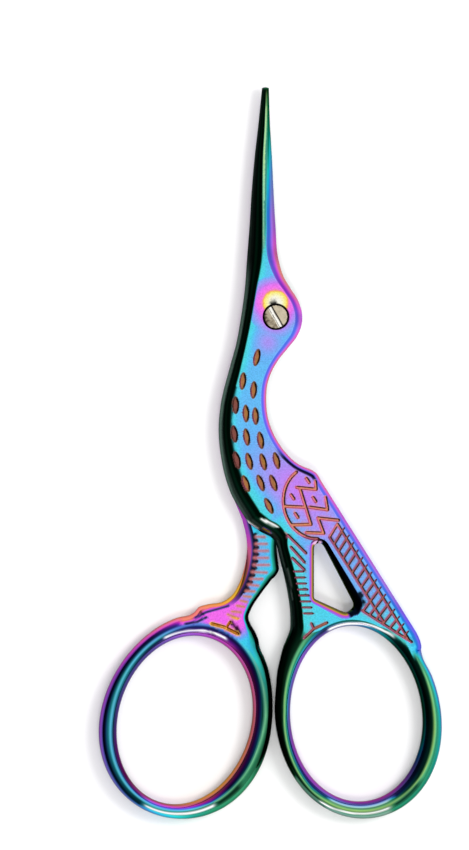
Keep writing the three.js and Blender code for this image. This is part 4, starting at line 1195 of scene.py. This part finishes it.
def frontBevel(f, ground, creaseShade):
    # The bands along the right bevel; at the tail's corner, where the edge widens into the bow, they keep to
    # its outermost part.
    corner = (f["xyz"][:, 0] > 15) & (f["loop"] == 0)
    share = np.where(corner, np.minimum(f["inside"] / 0.92, 1), f["share"])
    bevel = banded(frontColours["bevel"], share, f["xyz"][:, 1])
    return blend(smoothstep(0.9, 1, share), plain(bevel[0], bevel[1] * (1 - creaseShade)), ground)


def windowColours(f, ground):
    # The window's edge: olive, orange and purple on its left and lower sides, painted as lit, black and navy
    # on the right, painted as in shadow, and a painted pale highlight along the top.
    share, outX, outY = f["share"], f["out"][:, 0], f["out"][:, 1]
    lit, shadow, top = (plain(read(films, share)[0], read(shades, share)[0])
                        for films, shades in windowBands.values())
    top[2] = 0.5 * (share < 0.65)
    pane = np.where(outX < -0.45, shadow, np.where(outY < -0.6, top, lit))
    return blend(smoothstep(0.92, 1, share), pane, ground)


def frontFilm(f):
    # All of the front half: the flats, the left edge painted dark as a reflection, the bevel, the window's
    # edge, the screw's seat with its wall painted black as shade, the bow, and what is carved.
    x, y, share, loop = f["xyz"][:, 0], f["xyz"][:, 1], f["share"], f["loop"]
    onWindow, onSeat = loop == 2, loop == 3
    inSeat = onSeat & (np.hypot(x, y) < pivot["counterbore"] + 0.02)
    leftward = smoothstep(0.2, 0.6, -f["facing"][:, 0])
    ground = frontGround(f, leftward)
    # painted shade: a black line along the crease inside the bevel, over the wing
    first, full, fading, last = frontMarks["creaseShade"]  # a black crease inside the bevel, over the wing
    creaseShade = smoothstep(0.5, 0.66, share) * (1 - smoothstep(0.06, 0.22, f["beyond"])) * (1 - leftward)
    creaseShade = 0.96 * creaseShade * (loop == 0) * smoothstep(first, full, y) * smoothstep(last, fading, y)
    ground[1] = ground[1] * (1 - creaseShade)
    for centre in frontMarks["darkSpots"]:
        ground[1] = ground[1] * (1 - 0.97 * smoothstep(0.25, 0.6, bell(x, y, centre, 0.6)))
    band, onStrip = frontBand(f, ground)
    # Edges that face left take the band, a painted dark reflection of the room's dark side.
    dark = (f["out"][:, 0] < -0.24) & (loop == 0)
    colours = np.where(dark, band, frontBevel(f, ground, creaseShade))
    colours = np.where(onWindow, windowColours(f, ground), colours)
    colours = np.where(onSeat, ground, colours)
    # painted shade: the counterbore's wall black in the gap round the screw's head
    colours = np.where(inSeat, plain(colours[0], 0.01), colours)
    around, place = bowPlace(f, bows["right"])
    rim = (loop == 1) & (share < 0.96)
    onBody = smoothstep(40, 48, around) * (1 - smoothstep(121, 129, around)) * ~rim
    onBow = smoothstep(-0.3, -0.1, place) * (1 - onBody) * (y < -46)
    colours = blend(onBow, colours, rimColours(around, place, "right"))
    wide, long = wingOval["reach"]
    wing = (np.hypot((x - wingOval["x"]) / wide, (y - wingOval["y"]) / long) < 1) & (y > -34.5)
    cutFilm, cutShade = cutFields(f, wing)
    mauve = (f["dimple"] > 0.05) & (x < -5.6) & (y < -11)  # the dimples next to the dark edge
    cutFilm, cutShade = np.where(mauve, 0.165, cutFilm), np.where(mauve, cutShade * 0.6, cutShade)
    polish = np.maximum((1 - smoothstep(0.8, 1, share)) * (1 - dark * onStrip) * ~onSeat, onBow)
    deep = np.maximum(smoothstep(0.3, 0.6, share), smoothstep(-42, -48, y)) * np.where(onWindow, 0.4, 0.8)
    deep = polish * np.where(onBow > 0.5, rimDepth(place, colours[0]), deep)
    return dyed(f, colours, deep, polish, cutFilm, cutShade)


rearColours = {
    # the left edge's bands; the black inner band is a painted dark reflection
    "edge": [  # from the outside in: shares of the edge over which each band sets in, and its table
        ((0, 0), [
            [-48, 0.15, 0.85], [-46, 0.17, 0.9], [-44.8, 0.12, 0.8], [-43.3, 0.11, 0.65], [-41.5, 0.13, 0.6],
            [-39.5, 0.17, 0.55], [-36.5, 0.2, 0.55], [-34, 0.3, 0.5],
        ]),
        ((0.46, 0.56), [
            [-48, 0.24, 0.95], [-45.5, 0.28, 0.95], [-44.3, 0.36, 0.5], [-43, 0.4, 0.2], [-38, 0.4, 0.25],
            [-34, 0.42, 0.25],
        ]),
        ((0.6, 0.72), [
            [-48, 0.27, 1], [-45.5, 0.28, 1], [-44.4, 0.36, 0.3], [-43.6, 0.45, 0.03], [-35, 0.48, 0.025],
            [-33, 0.5, 0.03],
        ]),
    ],
    "ribFilm": (0.172, 0.14),   # upper and lower ribs
    "ribFade": (-42, -45),      # levels over which the one goes over into the other
    "ribShade": 0.66,
    "arrowFilm": 0.125,
}
rearMarks = {
    "patches": [[-4.3, -42.5, 1.6, -0.1], [-3, -37.5, 2.2, -0.08]],  # x, y, radius and change of film
    "pinkCentre": (-7.8, -46.9),
    "firstGap": -35.15,      # between the upper two ribs
    "ribPitch": 1.1,
    "ribEnd": -47.2,         # below this lies the arrow
    # painted shade: dark strokes along the joint of the leg and the bow
    "strokes": [([[-12.7, -47.3], [-10.9, -46.4], [-7.4, -45.4]], 0.05, 0.22),
                ([[-14.2, -48.2], [-12.4, -47.9], [-10.9, -47.2]], 0.08, 0.22)],
    "wedge": ([[-6.85, -48.15], [-6.3, -48.85], [-5.75, -49.6]], 0.28, 0.16),
}


def rearFilm(f):
    # All of the rear half: blue and pink flats, a hem of painted dark reflection that reaches in between the
    # ribs, the left edge's bands with their painted black, the green right edge with painted black shade, the
    # bow, dark strokes of painted shade at the bow's joint, and what is carved.
    x, y, share, beyond = f["xyz"][:, 0], f["xyz"][:, 1], f["share"], f["beyond"]
    rightward = smoothstep(0, 0.5, f["facing"][:, 0])
    pinkX, pinkY = rearMarks["pinkCentre"]
    film = 0.66 - 0.39 * (1 - smoothstep(2.4, 4.8, np.hypot((x - pinkX) * 0.8, y - pinkY)))
    film = patched(film, x, y, rearMarks["patches"])
    saw = 0.34 + 0.22 * np.cos((y - rearMarks["firstGap"]) / rearMarks["ribPitch"] * 2 * np.pi)
    # painted dark reflection: a navy-black hem along the left edge, reaching in between the ribs
    hem = (1 - rightward) * (1 - smoothstep(saw - 0.12, saw + 0.12, beyond)) * (y > -43.5) * (y < -34)
    ground = plain(film, 1 - 0.97 * hem)
    edge = blend(smoothstep(0.94, 1, share), plain(*banded(rearColours["edge"], share, y)), ground)
    # painted shade: black along the outer part of the right edge
    right = plain(0.79, 0.02 + 0.85 * smoothstep(0.34, 0.5, share))
    right = blend(smoothstep(0.6, 0.8, share), right, ground)
    colours = np.where(f["out"][:, 0] > 0, right, edge)
    around, place = bowPlace(f, bows["left"])
    onBody = smoothstep(44, 54, around) * (1 - smoothstep(92, 98, around))
    onBody = onBody * (1 - smoothstep(0.36, 0.48, place))
    onBow = smoothstep(-0.2, -0.06, place) * (1 - onBody)
    colours = blend(onBow, colours, rimColours(around, place, "left"))
    # painted shade: dark strokes along the joint of the leg and the bow
    strokes = np.maximum.reduce([nearLine(f, *stroke) for stroke in rearMarks["strokes"]])
    colours = blend(strokes, colours, plain(0.45, 0.06, np.zeros(len(x))))
    wedge = nearLine(f, *rearMarks["wedge"])
    colours = blend(wedge, colours, plain(colours[0], 0.04, np.zeros(len(x))))
    # The ribs are salmon in the middle and let the ground's colour through at their flanks.
    rib = (y > rearMarks["ribEnd"]) & (f["dimple"] < 0.05)
    core = smoothstep(0.3, 0.9, f["depth"] * plumage["deep"] / plumage["ribDeep"])
    ribFilm = blend(smoothstep(*rearColours["ribFade"], y), *rearColours["ribFilm"])
    cutFilm = np.where(rib, ribFilm, rearColours["arrowFilm"])
    cutShade = np.minimum(cutFields(f, y < rearMarks["ribEnd"])[1] * 1.3, 1)
    cutShade = np.where(rib, rearColours["ribShade"], cutShade)
    f["carved"] = np.where(rib, f["carved"] * (0.32 + 0.68 * core), f["carved"])
    polish = np.maximum(1 - smoothstep(0.8, 1, share), onBow)
    deep = polish * np.where(onBow > 0.5, rimDepth(place, colours[0]), 0.35)
    return dyed(f, colours, deep, polish, cutFilm, cutShade)


screw = {"head": 1.93, "shank": 1.2, "headDeep": 0.95, "dome": 0.2, "chamfer": 0.12,
         "slotWidth": 0.6, "slotDeep": 0.45, "slotAngle": 120}


def screwFilm(f):
    # Painted shade on the flank and the slot wall, a painted white gleam on the slot floor and lower lip, and
    # brown blotches heavier on the lower left of the head.
    x, y = f["xyz"][:, 0], f["xyz"][:, 1]
    across = -x * np.sin(screw["slotAngle"] * turn) + y * np.cos(screw["slotAngle"] * turn)
    wall = smoothstep(-0.37, -0.31, across) * (1 - smoothstep(-0.16, -0.1, across))
    lip = smoothstep(-0.16, -0.08, across) * (1 - smoothstep(0.38, 0.48, across))
    flank = (np.hypot(x, y) > screw["head"] - 0.15) | (f["side"] == 0)
    bright = np.where(flank, 0.03, 1 - 0.95 * wall)
    blotching = 0.35 + 0.65 * smoothstep(0.3, 0.7, across)
    return {"bright": bright, "blotching": blotching * (1 - wall) * (1 - lip), "paintedGleam": lip}


# The pieces

frontUnder = {"deepen": (-37.5, -48.5), "clearance": 0.02, "windowEdge": 0.6, "windowRise": 0.4}


def frontHalf():
    grid = halves["grid"]
    outline, lowOutline, opening, hole = frontLoops(halves["step"])
    counterbore = roundHole(pivot["counterbore"], 72, 0.1, frontTop - 0.05)
    grooves = np.vstack([wingGrooves(), tailGrooves(), rightLegGrooves()])
    top = carvedFace([outline, opening, hole, counterbore], lambda p: frontBase + thicknessAt(p[:, 1]),
                     rowShares, grid, 1, grooves, featherDimples(), plumage["featherDeep"])

    def underCrown(p):  # flat against the rear half, deeper below the legs down to the bow
        return frontBase * (1 - smoothstep(*frontUnder["deepen"], p[:, 1])) + frontUnder["clearance"]

    lowOpening, lowHole = opening.copy(), hole.copy()
    lowOpening[:, 3] = rimLow
    lowHole[:, 3] = np.minimum(underCrown(hole) + frontUnder["windowRise"], frontBase)
    lowHole[:, 2] = frontUnder["windowEdge"]
    bore = roundHole(pivot["frontBore"], 72, 0.1, frontBase)
    under = carvedFace([lowOutline, lowOpening, lowHole, bore], underCrown, rowShares[1::2], grid * 2, -1,
                       [], [])
    seat = frontTop - pivot["seat"]
    fields, faces = shell(top, under, {3: [(pivot["counterbore"], seat), (pivot["frontBore"], seat)]})
    return makeMesh("frontHalf", fields["xyz"], faces, "front", "front_half",
                    frontFilm(fields))


# front face of the rear half down the leg to the bow: y and height
legHeights = [[-53, 4.3], [-50, 4.2], [-47, 4.05], [-45, 3.75], [-43.5, 3.5], [-42, 3.2], [-40.5, 2.9],
              [-38.5, 2.55], [-36.5, 2.15], [-34, 2.1]]


def rearHalf():
    grid = halves["grid"]
    outline, lowOutline, opening = rearLoops(halves["step"])
    bore, lowBore = (roundHole(pivot["rearBore"], 60, 0.1, height) for height in (halves["thickness"], 0.05))
    top = carvedFace([outline, opening, bore],
                     lambda p: read(legHeights, p[:, 1])[0], rowShares, grid, 1, leftLegGrooves(), [],
                     flank=(0.05, 0.56))
    lowOpening = opening.copy()
    lowOpening[:, 3] = rimLow
    under = carvedFace([lowOutline, lowOpening, lowBore],
                       lambda p: halves["thickness"] - thicknessAt(p[:, 1]), rowShares[1::2], grid * 1.5, -1,
                       [], featherDimples(), plumage["featherDeep"])
    fields, faces = shell(top, under, {})
    return makeMesh("rearHalf", fields["xyz"], faces, "rear", "rear_half",
                    rearFilm(fields))


def pivotScrew():
    head, shank, seat = screw["head"], screw["shank"], frontTop - screw["headDeep"]
    rimHeight = frontTop - screw["dome"] - screw["chamfer"]
    c, s = np.cos(screw["slotAngle"] * turn) * 2.4, np.sin(screw["slotAngle"] * turn) * 2.4
    slot = np.array([[-c, -s, c, s, screw["slotWidth"], screw["slotDeep"]]])

    def dome(p):
        return frontTop - screw["dome"] * (p ** 2).sum(1) / head ** 2

    top = carvedFace([withEdge(circleLoop(head, 96), 0.14, rimHeight, 0.6)], dome, rowShares[::2], 0.16, 1,
                     slot, [], flank=(0.42, 0.54), edgeKept=0)
    under = carvedFace([withEdge(circleLoop(shank, 96), 0.12, 0.1, 0)], lambda p: 0 * p[:, 0],
                       rowShares[::4], 0.4, -1, [], [])
    fields, faces = shell(top, under, {0: [(head, seat), (shank, seat)]})
    return makeMesh("pivotScrew", fields["xyz"], faces, "rear", "pivot_screw",
                    screwFilm(fields))


plated = platingMaterial()
for piece in (frontHalf(), rearHalf()):
    piece.data.materials.append(plated)
pivotScrew().data.materials.append(screwMaterial())


# Floor, camera and light

studio = {
    "centre": (-6.5, -17.0),     # middle of the picture
    "frameHeight": 133.45,
    "lens": 300,
    "sensor": 36,
    "floorColour": 0.86,
    "floorGlow": 0.12,           # seen directly and in reflections
    "floorSize": 1500,
    "floorDrop": 0.05,
}


def makeFloor():
    mesh = bpy.data.meshes.new("floor")
    corners = np.array([[-1, -1], [1, -1], [1, 1], [-1, 1]]) * studio["floorSize"]
    mesh.from_pydata((np.c_[corners, np.full(4, -studio["floorDrop"])] * mm).tolist(), [], [(0, 1, 2, 3)])
    floor = bpy.data.objects.new("floor", mesh)
    bpy.context.scene.collection.objects.link(floor)
    material, tree, shader = newMaterial("floorPaper", 0.0)
    seen = tree.nodes.new("ShaderNodeLightPath")
    either = math(tree, "MAXIMUM", seen.outputs["Is Camera Ray"], seen.outputs["Is Glossy Ray"])
    setInputs(tree, shader, {"Base Color": (*[studio["floorColour"]] * 3, 1), "Roughness": 0.9,
                             "Specular IOR Level": 0, "Emission Color": (1, 1, 1, 1),
                             "Emission Strength": math(tree, "MULTIPLY", either, studio["floorGlow"])})
    mesh.materials.append(material)


def makeCamera():
    data = bpy.data.cameras.new("camera")
    data.lens, data.sensor_width = studio["lens"], studio["sensor"]
    data.clip_start, data.clip_end = 0.01, 10
    camera = bpy.data.objects.new("camera", data)
    distance = studio["frameHeight"] * studio["lens"] / studio["sensor"] + frontTop
    camera.location = Vector((*studio["centre"], distance)) * mm
    bpy.context.scene.collection.objects.link(camera)
    bpy.context.scene.camera = camera


def areaLight(name, place, size, power, target=(0, -20, 0)):
    data = bpy.data.lights.new(name, "AREA")
    data.shape, data.size, data.size_y, data.energy = "RECTANGLE", size[0] * mm, size[1] * mm, power
    lamp = bpy.data.objects.new(name, data)
    lamp.visible_glossy = False
    lamp.location = Vector(place) * mm
    lamp.rotation_euler = (Vector(target) - Vector(place)).to_track_quat("-Z", "Y").to_euler()
    bpy.context.scene.collection.objects.link(lamp)


def makeWorld():
    world = bpy.data.worlds.new("studio")
    bpy.context.scene.world = world
    world.use_nodes = True
    tree = world.node_tree
    place = tree.nodes.new("ShaderNodeTexCoord")
    parts = tree.nodes.new("ShaderNodeSeparateXYZ")
    setInputs(tree, parts, {"Vector": place.outputs["Generated"]})
    side = tree.nodes.new("ShaderNodeMapRange")  # dark towards the left horizon
    side.interpolation_type = "SMOOTHSTEP"
    setInputs(tree, side, {"Value": parts.outputs["X"], "From Min": -0.95, "From Max": -0.2, "To Min": 0.1,
                           "To Max": 1.0})
    seen = tree.nodes.new("ShaderNodeLightPath")
    strength = math(tree, "MAXIMUM", side.outputs["Result"], seen.outputs["Is Camera Ray"])
    setInputs(tree, tree.nodes["Background"], {"Strength": strength, "Color": (1, 1, 1, 1)})


makeFloor()
makeCamera()
makeWorld()
areaLight("key", (260, 60, 420), (160, 160), 0.9)
areaLight("strip", (0, -185, 420), (120, 45), 0.35)
bpy.context.scene.view_settings.view_transform = "Standard"
